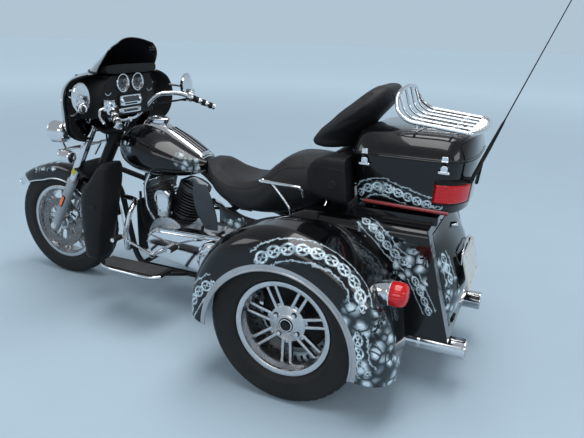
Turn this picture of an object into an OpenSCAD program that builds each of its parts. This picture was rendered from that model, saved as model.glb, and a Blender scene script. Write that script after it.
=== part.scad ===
// Touring three-wheeler: a V-twin motorcycle front half on a two-wheel rear axle, with a cargo body,
// a top trunk and a fork-mounted fairing. Every module is drawn with its origin on the floor below
// the rear axle, X forward, Y left, Z up. place() then moves the whole machine so that its origin is
// at the bottom centre of its outline.

/* [Running gear] */
// Distance between the front and rear axles
wheelbase = 1692; // [1600:1:1760]
// Distance between the centres of the rear tyres
rear_track = 1110; // [1090:1:1130]
// Outer diameter of a rear tyre
rear_tyre_d = 648; // [630:1:660]
// Width of a rear tyre
rear_tyre_w = 205; // [185:1:215]
// Outer diameter of a rear rim's lip
rear_rim_d = 404; // [380:1:420]
// Outer diameter of the front tyre
front_tyre_d = 644; // [620:1:660]
// Width of the front tyre
front_tyre_w = 130; // [110:1:135]
// Outer diameter of the front rim's lip
front_rim_d = 436; // [400:1:450]
// Number of double spokes in a rear wheel
rear_spokes = 7; // [5:1:9]
// Number of spokes in the front wheel
front_spokes = 9; // [6:1:12]

/* [Steering] */
// Lean of the steering axis from upright, in degrees
rake = 29; // [26:0.5:32]
// Distance from the steering axis forward to the fork legs
fork_offset = 75; // [60:1:90]
// Distance between the centres of the two fork legs
fork_spread = 224; // [215:1:235]
// Diameter of a fork slider
slider_d = 54; // [45:1:56]
// Width of the handlebar across its ends
handlebar_w = 822; // [760:1:860]
// Diameter of the handlebar's tube
handlebar_d = 25.4; // [22:0.1:32]

/* [Bodywork] */
// Width of the machine over the rear fenders
overall_w = 1390; // [1376:1:1420]
// Thickness of the moulded body panels
panel_t = 5; // [4:0.5:8]
// Half width of the cargo body
body_half = 338; // [320:1:345]
// Width of the fork fairing
fairing_w = 850; // [800:1:880]
// Width of the top trunk
trunk_w = 590; // [560:1:620]
// Length of the top trunk
trunk_l = 460; // [440:1:480]
// Height of the trunk's lower half
trunk_base_h = 190; // [170:1:205]
// Length of the whip antenna along its mast
antenna_l = 960; // [700:10:1000]

/* [Engine] */
// Angle between the two cylinders, in degrees
vee_angle = 45; // [40:1:50]
// Radius of a cylinder's cooling fins
fin_r = 82; // [70:1:86]
// Number of fins on a cylinder
fin_count = 11; // [6:1:14]

/* [Hidden] */
$fn = 48;

// Running clearances
pin_gap = 0.3;
move_gap = 6;
seat_gap = 0.3;

front_r = front_tyre_d / 2;
rear_r = rear_tyre_d / 2;
tyre_y = rear_track / 2;
half_w = overall_w / 2;
spread = fork_spread / 2;

// Where the machine's outline starts and ends, which places its origin
fender_tip = 350;
front_end = wheelbase + fender_tip;
antenna_foot = [-590, 212, 905];
antenna_lean = 20.5;
antenna_tip_r = 1.6;
rear_end = antenna_foot[0] - antenna_l * sin(antenna_lean) - antenna_tip_r;
x_origin = (front_end + rear_end) / 2;

module place() translate([-x_origin, 0, 0]) children();
module both_sides() { children(); mirror([0, 1, 0]) children(); }

// A point given across, along and up the leaning steering axis: [forward of it, left, above axle]
axis_x = wheelbase - fork_offset * cos(rake);
axis_z = front_r - fork_offset * sin(rake);
function steer_pt(p) = [axis_x + p[0] * cos(rake) - p[2] * sin(rake), p[1],
    axis_z + p[0] * sin(rake) + p[2] * cos(rake)];
module on_axis() translate([axis_x, 0, axis_z]) rotate([0, -rake, 0]) children();

// Smooth interpolation through [position, value] rows in rising order
function seg(t, x, i = 0) = i >= len(t) - 2 || x < t[i + 1][0] ? i : seg(t, x, i + 1);
function tang(t, i) = let(a = max(i - 1, 0), b = min(i + 1, len(t) - 1)) (t[b][1] - t[a][1]) / (t[b][0] -
    t[a][0]);
function curve(t, x) = let(i = seg(t, x), h = t[i + 1][0] - t[i][0], u = min(1, max(0, (x - t[i][0]) / h)),
    m0 = tang(t, i) * h, m1 = tang(t, i + 1) * h)
    (2*u*u*u - 3*u*u + 1) * t[i][1] + (u*u*u - 2*u*u + u) * m0 + (3*u*u - 2*u*u*u) * t[i + 1][1] + (u*u*u
        - u*u) * m1;
function spow(v, e) = sign(v) * pow(abs(v), e);

// A closed loft through rings of equal count, and a thick sheet between two grids
function grid_faces(m, n, base, flip) = [for (j = [0:m - 2], i = [0:n - 2])
    let(a = base + j*n + i, b = a + 1, c = a + n + 1, d = a + n)
    each flip ? [[a, b, c], [a, c, d]] : [[a, c, b], [a, d, c]]];
function rim_faces(loop, shift, flip) = [for (k = [0:len(loop) - 2])
    let(a = loop[k], b = loop[k + 1], c = b + shift, d = a + shift)
    each flip ? [[a, c, b], [a, d, c]] : [[a, b, c], [a, c, d]]];
module thick_sheet(outer, inner, flip = false) {
    m = len(outer); n = len(outer[0]); s = m * n;
    border = concat([for (i = [0:n - 1]) i], [for (j = [1:m - 1]) j*n + n - 1],
        [for (i = [n - 2:-1:0]) (m - 1)*n + i], [for (j = [m - 2:-1:0]) j*n]);
    polyhedron(points = concat([for (r = outer) each r], [for (r = inner) each r]),
        faces = concat(grid_faces(m, n, 0, flip), grid_faces(m, n, s, !flip), rim_faces(border, s, flip)));
}
module loft(rings, flip = false) {
    m = len(rings); n = len(rings[0]);
    sides = [for (j = [0:m - 2], i = [0:n - 1]) let(a = j*n + i, b = j*n + (i + 1) % n, c = b + n, d = a
        + n)
        each flip ? [[a, b, c], [a, c, d]] : [[a, c, b], [a, d, c]]];
    first = [for (i = [0:n - 1]) flip ? n - 1 - i : i];
    last = [for (i = [0:n - 1]) (m - 1)*n + (flip ? i : n - 1 - i)];
    polyhedron(points = [for (r = rings) each r], faces = concat(sides, [first], [last]));
}
// A rounded ring across the machine at x, from height zb to zt, half as wide as hw
function ring(x, zb, zt, hw, e = 2.6, n = 24) = [for (i = [0:n - 1]) let(a = 360 * (i + 0.5) / n)
    [x, hw * spow(cos(a), 2 / e), (zt + zb) / 2 + (zt - zb) / 2 * spow(sin(a), 2 / e)]];
// A rounded ring at height z about (x, y)
function flat_ring(x, y, z, hx, hy, e = 3, n = 20) = [for (i = [0:n - 1]) let(a = 360 * (i + 0.5) / n)
    [x + hx * spow(cos(a), 2 / e), y + hy * spow(sin(a), 2 / e), z]];

// A straight round bar between two points, and a bent one with round elbows
module bar(a, b, r, r2 = undef) {
    d = b - a; l = norm(d);
    translate(a) rotate([0, acos(d[2] / l), atan2(d[1], d[0])]) cylinder(h = l, r1 = r, r2 = is_undef(r2)
        ? r : r2);
}
// A bent tube along a route, its corners rounded off by q
function unit(v) = v / norm(v);
function corner(a, b, c, q) = let(u = a - b, v = c - b, d = min(q, norm(u) * 0.45, norm(v) * 0.45))
    [for (t = [0:0.25:1]) (1 - t) * (1 - t) * (b + unit(u) * d) + 2 * t * (1 - t) * b + t * t * (b +
        unit(v) * d)];
function route(pts, q) = concat([pts[0]], [for (i = [1:len(pts) - 2]) each corner(pts[i - 1], pts[i],
    pts[i + 1], q)], [pts[len(pts) - 1]]);
function square_to(n, t) = unit(n - (n * t) * t);
module bent_bar(pts, r, q = undef, n = 12) {
    p = route(pts, is_undef(q) ? 3.2 * r : q);
    m = len(p);
    dirs = [for (i = [0:m - 1]) unit(p[min(i + 1, m - 1)] - p[max(i - 1, 0)])];
    sides = [for (i = 0, w = square_to(abs(dirs[0][2]) < 0.9 ? [0, 0, 1] : [1, 0, 0], dirs[0]); i < m;
        i = i + 1, w = i < m ? square_to(w, dirs[i]) : w) w];
    loft([for (i = [0:m - 1]) let(v = cross(dirs[i], sides[i]))
        [for (k = [0:n - 1]) let(a = 360 * (k + 0.5) / n) p[i] + r * (cos(a) * sides[i] + sin(a) * v)]]);
}
module across(y0, y1, r) translate([0, y1, 0]) rotate([90, 0, 0]) cylinder(h = y1 - y0, r = r);

// ---------------------------------------------------------------- wheels
module tyre(r, w, rim_r) {
    k = w / 2;
    bead = rim_r - 13.7;
    rotate([90, 0, 0]) rotate_extrude($fn = 96)
        polygon([[bead, -k * 0.60], [bead, -k * 0.745], [rim_r + 1, -k * 0.775], [rim_r + 3, -k * 0.88],
            [rim_r + 14, -k * 0.97], [(r + rim_r) / 2, -k],
            [r - 30, -k * 0.96], [r - 12, -k * 0.86], [r - 3, -k * 0.66], [r, -k * 0.3], [r, k * 0.3], [r
                - 3, k * 0.66],
            [r - 12, k * 0.86], [r - 30, k * 0.96], [(r + rim_r) / 2, k], [rim_r + 14, k * 0.97],
            [rim_r + 3, k * 0.88], [rim_r + 1, k * 0.775], [bead, k * 0.745], [bead, k * 0.60]]);
}
// Rim lip, barrel and hub, turned about Y; the bore is cut by the caller
module wheel_turning(rim_r, w, hub_r, hub_y0, hub_y1) rotate([-90, 0, 0]) {
    rotate_extrude($fn = 96) polygon([[rim_r, -w*0.45], [rim_r, -w*0.42], [rim_r - 14, -w*0.405], [rim_r
        - 15, -w*0.30],
        [rim_r - 25, -w*0.2], [rim_r - 25, w*0.2], [rim_r - 15, w*0.30], [rim_r - 14, w*0.405], [rim_r,
            w*0.42],
        [rim_r, w*0.45], [rim_r - 20, w*0.44], [rim_r - 21, w*0.31], [rim_r - 32, w*0.22], [rim_r - 32,
            -w*0.22],
        [rim_r - 21, -w*0.31], [rim_r - 20, -w*0.44]]);
    translate([0, 0, hub_y0]) cylinder(h = hub_y1 - hub_y0, r = hub_r);
}
front_axle_r = 12.5;
disc_y = 64;
module front_rim() color("silver") translate([wheelbase, 0, front_r]) {
    rim_r = front_rim_d / 2;
    difference() {
        union() {
            wheel_turning(rim_r, front_tyre_w * 0.95, 46, -72, 72);
            for (k = [0:front_spokes - 1]) rotate([0, k * 360 / front_spokes, 0])
                translate([38, -14, -10]) cube([rim_r - 38 - 30, 28, 20]);
        }
        rotate([90, 0, 0]) cylinder(h = 200, r = front_axle_r + pin_gap, center = true);
    }
    for (s = [-1, 1]) rotate([90, 0, 0]) translate([0, 0, s * disc_y - 2.5]) difference() {
        cylinder(h = 5, r = 146);
        translate([0, 0, -1]) cylinder(h = 7, r = 40);
        for (k = [0:8]) rotate([0, 0, k * 40]) translate([84, 0, -1]) cylinder(h = 7, r = 17);
    }
}
module front_tyre() color("dimgray") translate([wheelbase, 0, front_r]) tyre(front_r, front_tyre_w, front_rim_d / 2);

rear_axle_r = 16;
rear_hub_y = [-58, 46];
module rear_rim() {
    rim_r = rear_rim_d / 2;
    difference() {
        union() {
            wheel_turning(rim_r, rear_tyre_w * 0.93, 50, rear_hub_y[0], rear_hub_y[1]);
            rotate([-90, 0, 0]) translate([0, 0, 18]) cylinder(h = 22, r = 76);
            for (k = [0:rear_spokes - 1], s = [-1, 1]) rotate([0, k * 360 / rear_spokes, 0])
                rotate([0, s * 3.5, 0]) translate([50, 10, s * 13 - 6]) cube([rim_r - 50 - 30, 26, 12]);
            rotate([-90, 0, 0]) translate([0, 0, -56]) cylinder(h = 8, r = 140);
        }
        rotate([90, 0, 0]) cylinder(h = 300, r = rear_axle_r + pin_gap, center = true);
        for (k = [0:3]) rotate([0, 45 + k * 90, 0]) translate([55, 0, 0]) rotate([-90, 0, 0])
            translate([0, 0, 30]) cylinder(h = 20, r = 9);
    }
}
module rear_wheel_at(side) translate([0, side * tyre_y, rear_r]) mirror([0, side < 0 ? 1 : 0, 0])
    children();
module left_rim() color("silver") rear_wheel_at(1) rear_rim();
module right_rim() color("silver") rear_wheel_at(-1) rear_rim();
module left_tyre() color("dimgray") rear_wheel_at(1) tyre(rear_r, rear_tyre_w, rear_rim_d / 2);
module right_tyre() color("dimgray") rear_wheel_at(-1) tyre(rear_r, rear_tyre_w, rear_rim_d / 2);

// ---------------------------------------------------------------- frame and rear axle
head_low = 440;
head_high = 690;
head_r = 34;
stem_r = 15;
rail_y = 120;
rail_z = 200;
rail_r = 15;
upright_x = 330;
deck_z = 540;
arm_y = 190;
arm_r = 24;
mount_x = 300;
module frame() color("black") difference() {
    union() {
        on_axis() translate([0, 0, head_low]) cylinder(h = head_high - head_low, r = head_r);
        bent_bar([steer_pt([0, 0, 620]), [1000, 0, 790], [760, 0, 745], [560, 0, 575]], 20);
        bar([560, -60, 565], [560, 60, 565], 14);
        both_sides() {
            bent_bar([steer_pt([-14, 16, 470]), [1190, rail_y, 600], [1120, rail_y, 260], [1080, rail_y,
                rail_z],
                [430, rail_y, rail_z], [upright_x, rail_y, 270], [upright_x, rail_y, deck_z], [-300,
                    rail_y, deck_z]], rail_r);
            bent_bar([[560, 56, 565], [480, 100, 552], [upright_x, rail_y, deck_z]], 14);
            translate([mount_x, rail_y - 30, rear_r - 32]) cube([22, arm_y - rail_y + 60, 64]);
        }
        both_sides() {
            bar([569, 44, 570], [600, 178, 604], 6.5);
            translate([600, 0, 604]) across(166, 185.4, 8.5);
        }
        bar([upright_x, -rail_y, 400], [upright_x, rail_y, 400], 14);
        bar([-300, -rail_y, deck_z], [-300, rail_y, deck_z], 13);
        bar([1080, -rail_y, rail_z], [1080, rail_y, rail_z], 13);
        bar([440, -rail_y, rail_z], [440, rail_y, rail_z], 13);
    }
    on_axis() translate([0, 0, head_low - 10]) cylinder(h = head_high - head_low + 20, r = stem_r +
        pin_gap);
}
axle_tube_r = 40;
axle_end_y = tyre_y + rear_hub_y[0] - move_gap;
module rear_axle() color("gray") translate([0, 0, rear_r]) {
    across(-axle_end_y, axle_end_y, axle_tube_r);
    across(-95, 75, 105);
    for (s = [-1, 1]) translate([0, s * (axle_end_y - 8), 0]) across(-8, 8, 62);
    across(-tyre_y - rear_hub_y[1] - 6, tyre_y + rear_hub_y[1] + 6, rear_axle_r);
    both_sides() {
        translate([0, arm_y, 0]) rotate([0, 90, 0]) cylinder(h = mount_x, r = arm_r);
        translate([0, rail_y, 0]) cylinder(h = deck_z - rail_r - rear_r - seat_gap, r = 27);
    }
}

// ---------------------------------------------------------------- engine
crank = [920, 0, 365];
case_half = 100;
primary_y = [case_half + 0.5, 200];
module engine_case() color("silver") difference() {
    union() {
        translate([crank[0], 0, crank[2]]) across(-case_half, case_half, 118);
        translate([600, -case_half, 240]) cube([330, 2 * case_half, 170]);
        translate([400, -82, 250]) cube([210, 164, 190]);
        translate([430, -30, rail_z + 13.4]) cube([20, 60, 60]);
        translate([crank[0], -case_half, crank[2]]) rotate([90, 0, 0]) cylinder(h = 34, r = 92);
        translate([1010, 0, 300]) cylinder(h = 110, r = 38);
        bar([crank[0] - 10, 60, 520], [crank[0] - 10, 132, 520], 12);
        translate([crank[0] - 10, 60, 430]) cylinder(h = 90, r = 12);
        translate([crank[0] - 10, 128, 600]) rotate([-90, 0, 0]) cylinder(h = 26, r = 44);
        translate([crank[0] - 34, 128, 508]) cube([48, 28, 92]);
    }
    translate([crank[0], 0, crank[2]]) for (s = [-1, 1]) rotate([0, s * vee_angle / 2, 0])
        translate([0, 0, barrel_low]) cylinder(h = 400, r = fin_r + 0.5);
}
barrel_low = 106;
barrel_h = 190;
module one_cylinder() {
    translate([0, 0, barrel_low + 0.3]) {
        cylinder(h = barrel_h, r = 56);
        for (k = [0:fin_count - 1]) translate([0, 0, 12 + k * (barrel_h - 24) / (fin_count - 1) - 3.5])
            cylinder(h = 5, r = fin_r - (k < 2 ? 14 : 0));
        translate([0, 0, barrel_h - 4]) intersection() {
            cylinder(h = 26, r = fin_r + 2);
            translate([-68, -90, 0]) cube([136, 180, 30]);
        }
    }
}
module cylinders() color("darkgray") translate([crank[0], 0, crank[2]])
    for (s = [-1, 1]) rotate([0, s * vee_angle / 2, 0]) difference() {
        one_cylinder();
        rotate([0, -s * vee_angle / 2, 0]) translate([s > 0 ? -200 : 1, -200, 0]) cube([199, 400, 600]);
    }
clutch_c = [580, 338];
module primary_cover() color("lightgray") difference() {
    union() {
        hull_plate(primary_y[0], 62, [crank[0] + 8, crank[2] - 6], 84, clutch_c, 112);
        hull_plate(primary_y[0] + 62, 22, [crank[0] + 2, crank[2] - 8], 66, clutch_c, 98);
        translate([clutch_c[0], primary_y[0] + 80, clutch_c[1]]) rotate([-90, 0, 0]) {
            cylinder(h = 24, r1 = 98, r2 = 92);
            cylinder(h = 34, r = 78);
            cylinder(h = 38, r1 = 60, r2 = 52);
        }
    }
    translate([300, 0, 0]) cube([900, 400, rail_z + rail_r + 3]);
}
// A plate between two circles joined by their outer tangents, standing from y
module hull_plate(y, t, c1, r1, c2, r2) {
    d = norm(c1 - c2); a = atan2(c1[1] - c2[1], c1[0] - c2[0]); b = acos((r2 - r1) / d);
    translate([0, y + t, 0]) rotate([90, 0, 0]) {
        translate([c1[0], c1[1], 0]) cylinder(h = t, r = r1);
        translate([c2[0], c2[1], 0]) cylinder(h = t, r = r2);
        // the straight sides run just inside both circles, so that they cross them cleanly
        linear_extrude(t) polygon([for (p = [[c2, r2, b], [c1, r1, b], [c1, r1, -b], [c2, r2, -b]])
            p[0] + (p[1] - 0.6) * [cos(a + p[2]), sin(a + p[2])]]);
    }
}
module air_cleaner() color("silver") translate([crank[0] + 5, -case_half, 560]) rotate([90, 0, 0]) {
    translate([0, 0, -30.8]) cylinder(h = 50.8, r = 26);
    translate([0, 0, 20]) cylinder(h = 46, r = 84);
    translate([0, 0, 66]) cylinder(h = 14, r1 = 84, r2 = 66);
}
pipe_r = 22;
muffler_r = 40;
muffler_y = 250;
muffler_z = 205;
tip_x = -658;
module exhaust() color("silver") {
    // front and rear headers on the right, joining under the gearbox
    bent_bar([[1072, -92, 560], [1100, -150, 520], [1060, -172, 330], [900, -176, 290], [600, -178, 262],
        [440, -236, muffler_z], [376, -muffler_y, muffler_z]], pipe_r);
    bent_bar([[760, -96, 540], [742, -165, 500], [690, -174, 360], [620, -178, 264]], pipe_r);
    bent_bar([[480, -216, muffler_z], [440, -160, 138], [420, 0, 136], [400, 160, 138], [396, 214, 190],
        [374, muffler_y, muffler_z]], pipe_r);
    translate([430, -20, 148]) cube([20, 40, rail_z - 13.4 - 148]);
    for (s = [-1, 1]) translate([0, s * muffler_y, muffler_z]) rotate([0, -90, 0]) translate([0, 0, -400]) {
        cylinder(h = 60, r1 = pipe_r, r2 = muffler_r);
        translate([0, 0, 60]) cylinder(h = 800, r = muffler_r);
        difference() {
            translate([0, 0, 860]) cylinder(h = -tip_x + 400 - 860, r1 = muffler_r, r2 = muffler_r + 4);
            translate([0, 0, 900]) cylinder(h = 300, r = muffler_r - 3);
        }
    }
}

// ---------------------------------------------------------------- tank, seat and side panels
tank_top = [[705, 800], [800, 852], [900, 903], [1000, 940], [1090, 950], [1165, 915], [1200, 868]];
tank_low = [[705, 742], [800, 712], [900, 698], [1000, 694], [1090, 706], [1165, 750], [1200, 800]];
tank_half = [[705, 66], [760, 122], [850, 166], [950, 190], [1050, 194], [1130, 172], [1180, 122], [1200,
    70]];
module fuel_tank() color("#15161a") {
    translate([997, -14, 809]) cube([6, 28, 50]);
    tank_shell();
}
module tank_shell() difference() {
    loft([for (k = [0:18]) let(x = 705 + 495 * k / 18)
        ring(x, curve(tank_low, x), curve(tank_top, x), curve(tank_half, x), 2.3, 28)]);
    translate([600, -27, 600]) cube([700, 54, 242]);
}
console_half = 46;
module tank_console() color("silver") {
    rotate([90, 0, 0]) linear_extrude(2 * console_half, center = true) polygon(concat(
        [for (k = [0:10]) let(x = 730 + 350 * k / 10) [x, curve(tank_top, x) + 0.6]],
        [for (k = [10:-1:0]) let(x = 730 + 350 * k / 10) [x, curve(tank_top, x) + 16 + 8 * k / 10]]));
    door_place() {
        translate([0, 0, -22]) scale_oval(door_r[0] - 6, door_r[1] - 6, 22 - seat_gap);
        for (x = [-22, 15]) translate([x, door_pin[0] - 4, -18]) cube([7, 12, 18 + door_pin[1] + 4]);
        translate([-20, door_pin[0], door_pin[1]]) rotate([0, 90, 0]) cylinder(h = 40, r = 2);
    }
}
door_c = [1018, 974];
door_tilt = 9;
door_r = [66, 44];
door_pin = [-door_r[1] - 4, 7];
module door_place() translate([door_c[0], 0, door_c[1]]) rotate([0, -door_tilt, 0]) children();
module fuel_door() color("white") door_place() difference() {
    union() {
        scale_oval(door_r[0], door_r[1], 14);
        translate([-14, door_pin[0], door_pin[1]]) rotate([0, 90, 0]) cylinder(h = 28, r = 5);
        translate([-14, door_pin[0], door_pin[1] - 3]) cube([28, 8, 6]);
    }
    translate([-30, door_pin[0], door_pin[1]]) rotate([0, 90, 0]) cylinder(h = 60, r = 2 + pin_gap);
    for (x = [-22, 15]) translate([x - 1, door_pin[0] - 6, -5]) cube([9, 16, 40]);
}
module scale_oval(rx, ry, h) linear_extrude(h) polygon([for (a = [0:10:350]) [rx * cos(a), ry * sin(a)]]);

seat_top = [[12, 894], [60, 905], [150, 906], [237, 888], [300, 830], [370, 776], [485, 757], [580, 786],
    [640, 826], [690, 838]];
seat_low = [[12, 742], [60, 700], [150, 650], [237, 618], [300, 606], [370, 606], [485, 624], [580, 668],
    [640, 730], [690, 800]];
seat_half = [[12, 172], [150, 182], [237, 190], [300, 206], [370, 216], [485, 210], [580, 186], [640,
    140], [690, 62]];
module seat() color("#2a2a2e") {
    both_sides() translate([200, rail_y - 20, deck_z + rail_r + 0.4]) cube([50, 40, 100]);
    loft([for (k = [0:18]) let(x = 12 + 678 * k / 18)
        ring(x, curve(seat_low, x), curve(seat_top, x), curve(seat_half, x), 3.2, 24)]);
}
rail_y_out = 252;
module grab_rails() color("white") both_sides() {
    bent_bar([[300, 226, 790], [306, rail_y_out, 796], [150, rail_y_out + 6, 795], [96, rail_y_out, 790],
        [96, 232, 745]], 6);
    bent_bar([[300, 226, 790], [260, 226, 792], [200, 234, 735], [150, 250, 690], [150, 236, 640],
        [150, rail_y + 101.4, deck_z + 64.2], [150, rail_y + 13.3, deck_z + 8.4]], 6);
}
module side_covers() color("#101014") both_sides() {
    translate([250, 0, deck_z]) across(rail_y + rail_r + 0.4, 190, 8);
    loft([for (k = [0:8]) let(x = 215 + 335 * k / 8)
        [for (p = [[184, 0], [205, 0], [205, 1], [184, 1]]) [x, p[0] - 12 * k / 8, p[1] == 0 ? 430 + 14 *
            k : curve(seat_low, x) - 14]]]);
}
module air_deflectors() color("#2c2f33") both_sides()
    loft([for (k = [0:8]) let(z = 492 + 225 * k / 8, w = 26 + 30 * sin(180 * (k + 1) / 10))
        [for (p = [[-1, 0], [1, 0], [1, 1], [-1, 1]]) [600 + 62 * pow(k / 8, 1.2) + p[0] * w, 172 + (p[1]
            == 0 ? 0 : 7) + 14 * sin(180 * k / 8), z]]]);
lower_y = 256;
lower_back = [[268, 1198], [379, 1176], [530, 1140], [674, 1108], [780, 1102]];
// the front edge slopes back near the top, which the turn signals pass at full lock
lower_front = [[268, 1292], [340, 1300], [600, 1298], [655, 1262], [700, 1224], [745, 1188], [780, 1158]];
module lower_fairings() color("#15161a") both_sides() {
    bar([1097.6, 231, 420], [1200, 231, 420], 8);
    loft([for (k = [0:12]) let(z = 268 + 512 * k / 12, back = curve(lower_back, z), front =
        curve(lower_front, z))
        flat_ring((front + back) / 2, lower_y, z, (front - back) / 2, 72 + 14 * sin(150 * k / 12) - 10 *
            pow(k / 12, 6), 3)]);
}
guard_r = 13;
module engine_guard() color("silver") both_sides()
    bent_bar([[1130, rail_y + rail_r + 5, 300], [1104, 205, 304], [1084, 236, 420], [1058, 214, 540],
        [1066, 152, 572], [1146, 151, 578]], guard_r);
board_z = 300;
board_t = 18;
module floorboards() color("black") both_sides() {
    translate([0, 0, board_z - board_t]) linear_extrude(board_t) polygon([[752, 300], [1096, 300], [1130,
        322], [1128, 372],
        [1098, 410], [1030, 428], [850, 432], [784, 424], [754, 396]]);
    for (x = [790, 1068]) bar([x, rail_y + rail_r + 3.6, rail_z], [x, 345, board_z - board_t - 1], 9);
}
module foot_controls() color("silver") {
    bent_bar([[1092, 262, 398], [900, 262, 332], [748, 262, 405]], 7);
    bar([1092, 256, 398], [1092, 330, 398], 13);
    bar([748, 256, 405], [748, 330, 405], 13);
    bar([900, primary_y[0] + 84.5, 332], [900, 262, 332], 9);
    bent_bar([[1092, -262, 398], [960, -262, 310], [900, -262, 245]], 7);
    bar([1092, -250, 398], [1092, -330, 398], 16);
    bar([900, -262, 245], [900, -rail_y - rail_r - 0.6, 203], 9);
}

// ---------------------------------------------------------------- cargo body
arch_c = [-20, 300];
arch_r = 430;
lip_c = [10, 275];
lip_r = 313;
body_low = 262;
body_top = 715;
plinth_z = 750;
arch_in = 388;
rear_lean = 15.5;
rear_low_x = -594;
wall_t = 5;
floor_z = deck_z + rail_r + seat_gap;
well_x = -320;
function rear_x(z) = rear_low_x + (z - body_low) * tan(rear_lean);
module rear_place() translate([rear_low_x, 0, body_low]) rotate([0, rear_lean, 0]) children();
module side_outline(g = 0) difference() {
    union() {
        intersection() {
            translate(arch_c) circle(r = arch_in - g, $fn = 96);
            translate([-600, body_low + g]) square([1200, body_top - body_low - 2 * g]);
        }
        polygon([[rear_x(body_low + g) + g, body_low + g], [rear_x(body_top - g) + g, body_top - g], [62,
            body_top - g], [104, body_top - 16],
            [160, 650], [200, 560], [200, 440], [-20, body_low + g]]);
    }
    translate([0, rear_r]) circle(r = 66);
}
module xz_plate(y, t) translate([0, y + t, 0]) rotate([90, 0, 0]) linear_extrude(t) children();
door_half = 264;
door_low = 46;
door_high = 434;
door_axis = [door_low - 3, 6];
module rear_body() color("#101014") {
    both_sides() {
        xz_plate(body_half - wall_t, wall_t) side_outline();
        // shoulder beside the seat
        translate([-11, 216, body_top - wall_t]) cube([60, body_half - 216 - wall_t + 1, wall_t]);
        rear_place() translate([0, 180, door_axis[0]]) {
            for (s = [-1, 1]) translate([-door_axis[1], s * 24 - 4, 0]) {
                translate([0, 8, 0]) rotate([90, 0, 0]) cylinder(h = 8, r = 5);
                translate([0, 0, -12]) cube([door_axis[1] + 3, 8, 12]);
            }
        }
    }
    rear_place() for (y = [180, -180]) translate([-door_axis[1], y + 26, door_axis[0]]) rotate([90, 0,
        0]) cylinder(h = 52, r = 2.5);
    // top skin, floor, well walls and the wall behind the seat
    translate([rear_x(body_top) + 0.5, -body_half, body_top - wall_t]) cube([-10 - rear_x(body_top), 2 *
        body_half, wall_t]);
    translate([well_x, -body_half, floor_z]) cube([-10 - well_x, 2 * body_half, wall_t]);
    translate([well_x, -body_half, body_low]) cube([wall_t, 2 * body_half, floor_z - body_low + 1]);
    translate([-15, -body_half, floor_z]) cube([wall_t, 2 * body_half, body_top - floor_z]);
    translate([rear_x(body_low) + 1, -body_half, body_low]) cube([well_x - rear_x(body_low), 2 *
        body_half, wall_t]);
    translate([-490, -262, body_top - 1]) cube([350, 524, plinth_z - body_top + 1]);
    // rear face with the door's opening
    difference() {
        rear_place() translate([0.6, 2 - body_half, 1]) cube([wall_t, 2 * body_half - 4, (body_top -
            body_low) / cos(rear_lean) - 4]);
        rear_place() translate([-50, -door_half - 6, door_low - 6]) cube([100, 2 * door_half + 12,
            door_high - door_low + 12]);
    }
}
door_bulge = 66;
function bulge(u, v) = door_bulge * (1 - pow(abs(u), 2.6)) * (1 - pow(abs(v), 2.6));
module cargo_door() color("#101014") difference() {
    union() {
        rear_place() thick_sheet([for (j = [-8:8]) [for (i = [-8:8]) door_pt(i / 8, j / 8, 0)]],
            [for (j = [-8:8]) [for (i = [-8:8]) door_pt(i / 8, j / 8, wall_t)]], true);
        rear_place() translate([-plate_w, 0, plate_v]) rotate([0, 90, 0]) cylinder(h = 30, r = 40);
        rear_place() for (y = [180, -180]) translate([-door_axis[1], y - 19.5, door_axis[0]]) {
            translate([0, 39, 0]) rotate([90, 0, 0]) cylinder(h = 39, r = 5);
            translate([0, 0, 0]) cube([door_axis[1] + 2, 39, 5]);
        }
    }
    rear_place() translate([-door_axis[1], 300, door_axis[0]]) rotate([90, 0, 0]) cylinder(h = 600, r =
        2.5 + pin_gap);
}
function door_pt(u, v, g) = [g - bulge(u, v), door_half * u, (door_low + door_high) / 2 + (door_high -
    door_low) / 2 * v];
plate_v = 216;
plate_w = door_bulge + 6;
plate_size = [156, 300, 8];
module number_plate() color("white") rear_place()
    translate([-plate_w - plate_size[2] - seat_gap, -plate_size[1] / 2, plate_v - plate_size[0] / 2])
        cube([plate_size[2], plate_size[1], plate_size[0]]);

// Rear fenders: arched sheets from the body out to a rolled lip
function fender_pt(a, t, g) = let(
    yy = body_half + 0.4 + (half_w - body_half - 0.4 - g) * min(1, t * 1.35),
    f = t < 0.55 ? 0 : (t - 0.55) / 0.45,
    u = 1 - pow(f, 1.6),
    c = [lip_c[0] + (arch_c[0] - lip_c[0]) * u, lip_c[1] + (arch_c[1] - lip_c[1]) * u],
    full = arch_r + 30 * sin(2 * a),
    crest = full - (full - arch_in - 4) * pow(1 - min(1, t / 0.38), 2),
    r = lip_r + (crest - lip_r) * u - g * (f < 1 ? 1 : 0))
    [c[0] + r * cos(a), t >= 0.74 ? half_w - g : yy, c[1] + r * sin(a)];
fender_steps = 20;
fender_rows = [0, 0.12, 0.25, 0.38, 0.50, 0.57, 0.62, 0.67, 0.72, 0.78, 0.86, 0.93, 1];
module rear_fenders() color("#15161a") both_sides()
    thick_sheet([for (t = fender_rows) [for (k = [0:fender_steps]) fender_pt(fender_a0 + (fender_a1 -
        fender_a0) * k / fender_steps, t, 0)]],
        [for (t = fender_rows) [for (k = [0:fender_steps]) fender_pt(fender_a0 + (fender_a1 - fender_a0)
            * k / fender_steps, t, panel_t)]], true);
fender_a0 = 3;
fender_a1 = 192;
module rear_lamps() color("red") difference() {
    both_sides() translate([-452, 548, 529]) rotate([0, 90, 0]) scale([0.85, 1, 1]) cylinder(h = 114, r =
        47);
    both_sides() thick_sheet([for (t = fender_rows) [for (k = [0:fender_steps]) fender_pt(fender_a0 +
        (fender_a1 - fender_a0) * k / fender_steps, t, -0.4)]],
        [for (t = fender_rows) [for (k = [0:fender_steps]) fender_pt(fender_a0 + (fender_a1 - fender_a0)
            * k / fender_steps, t, 60)]], true);
}

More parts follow.
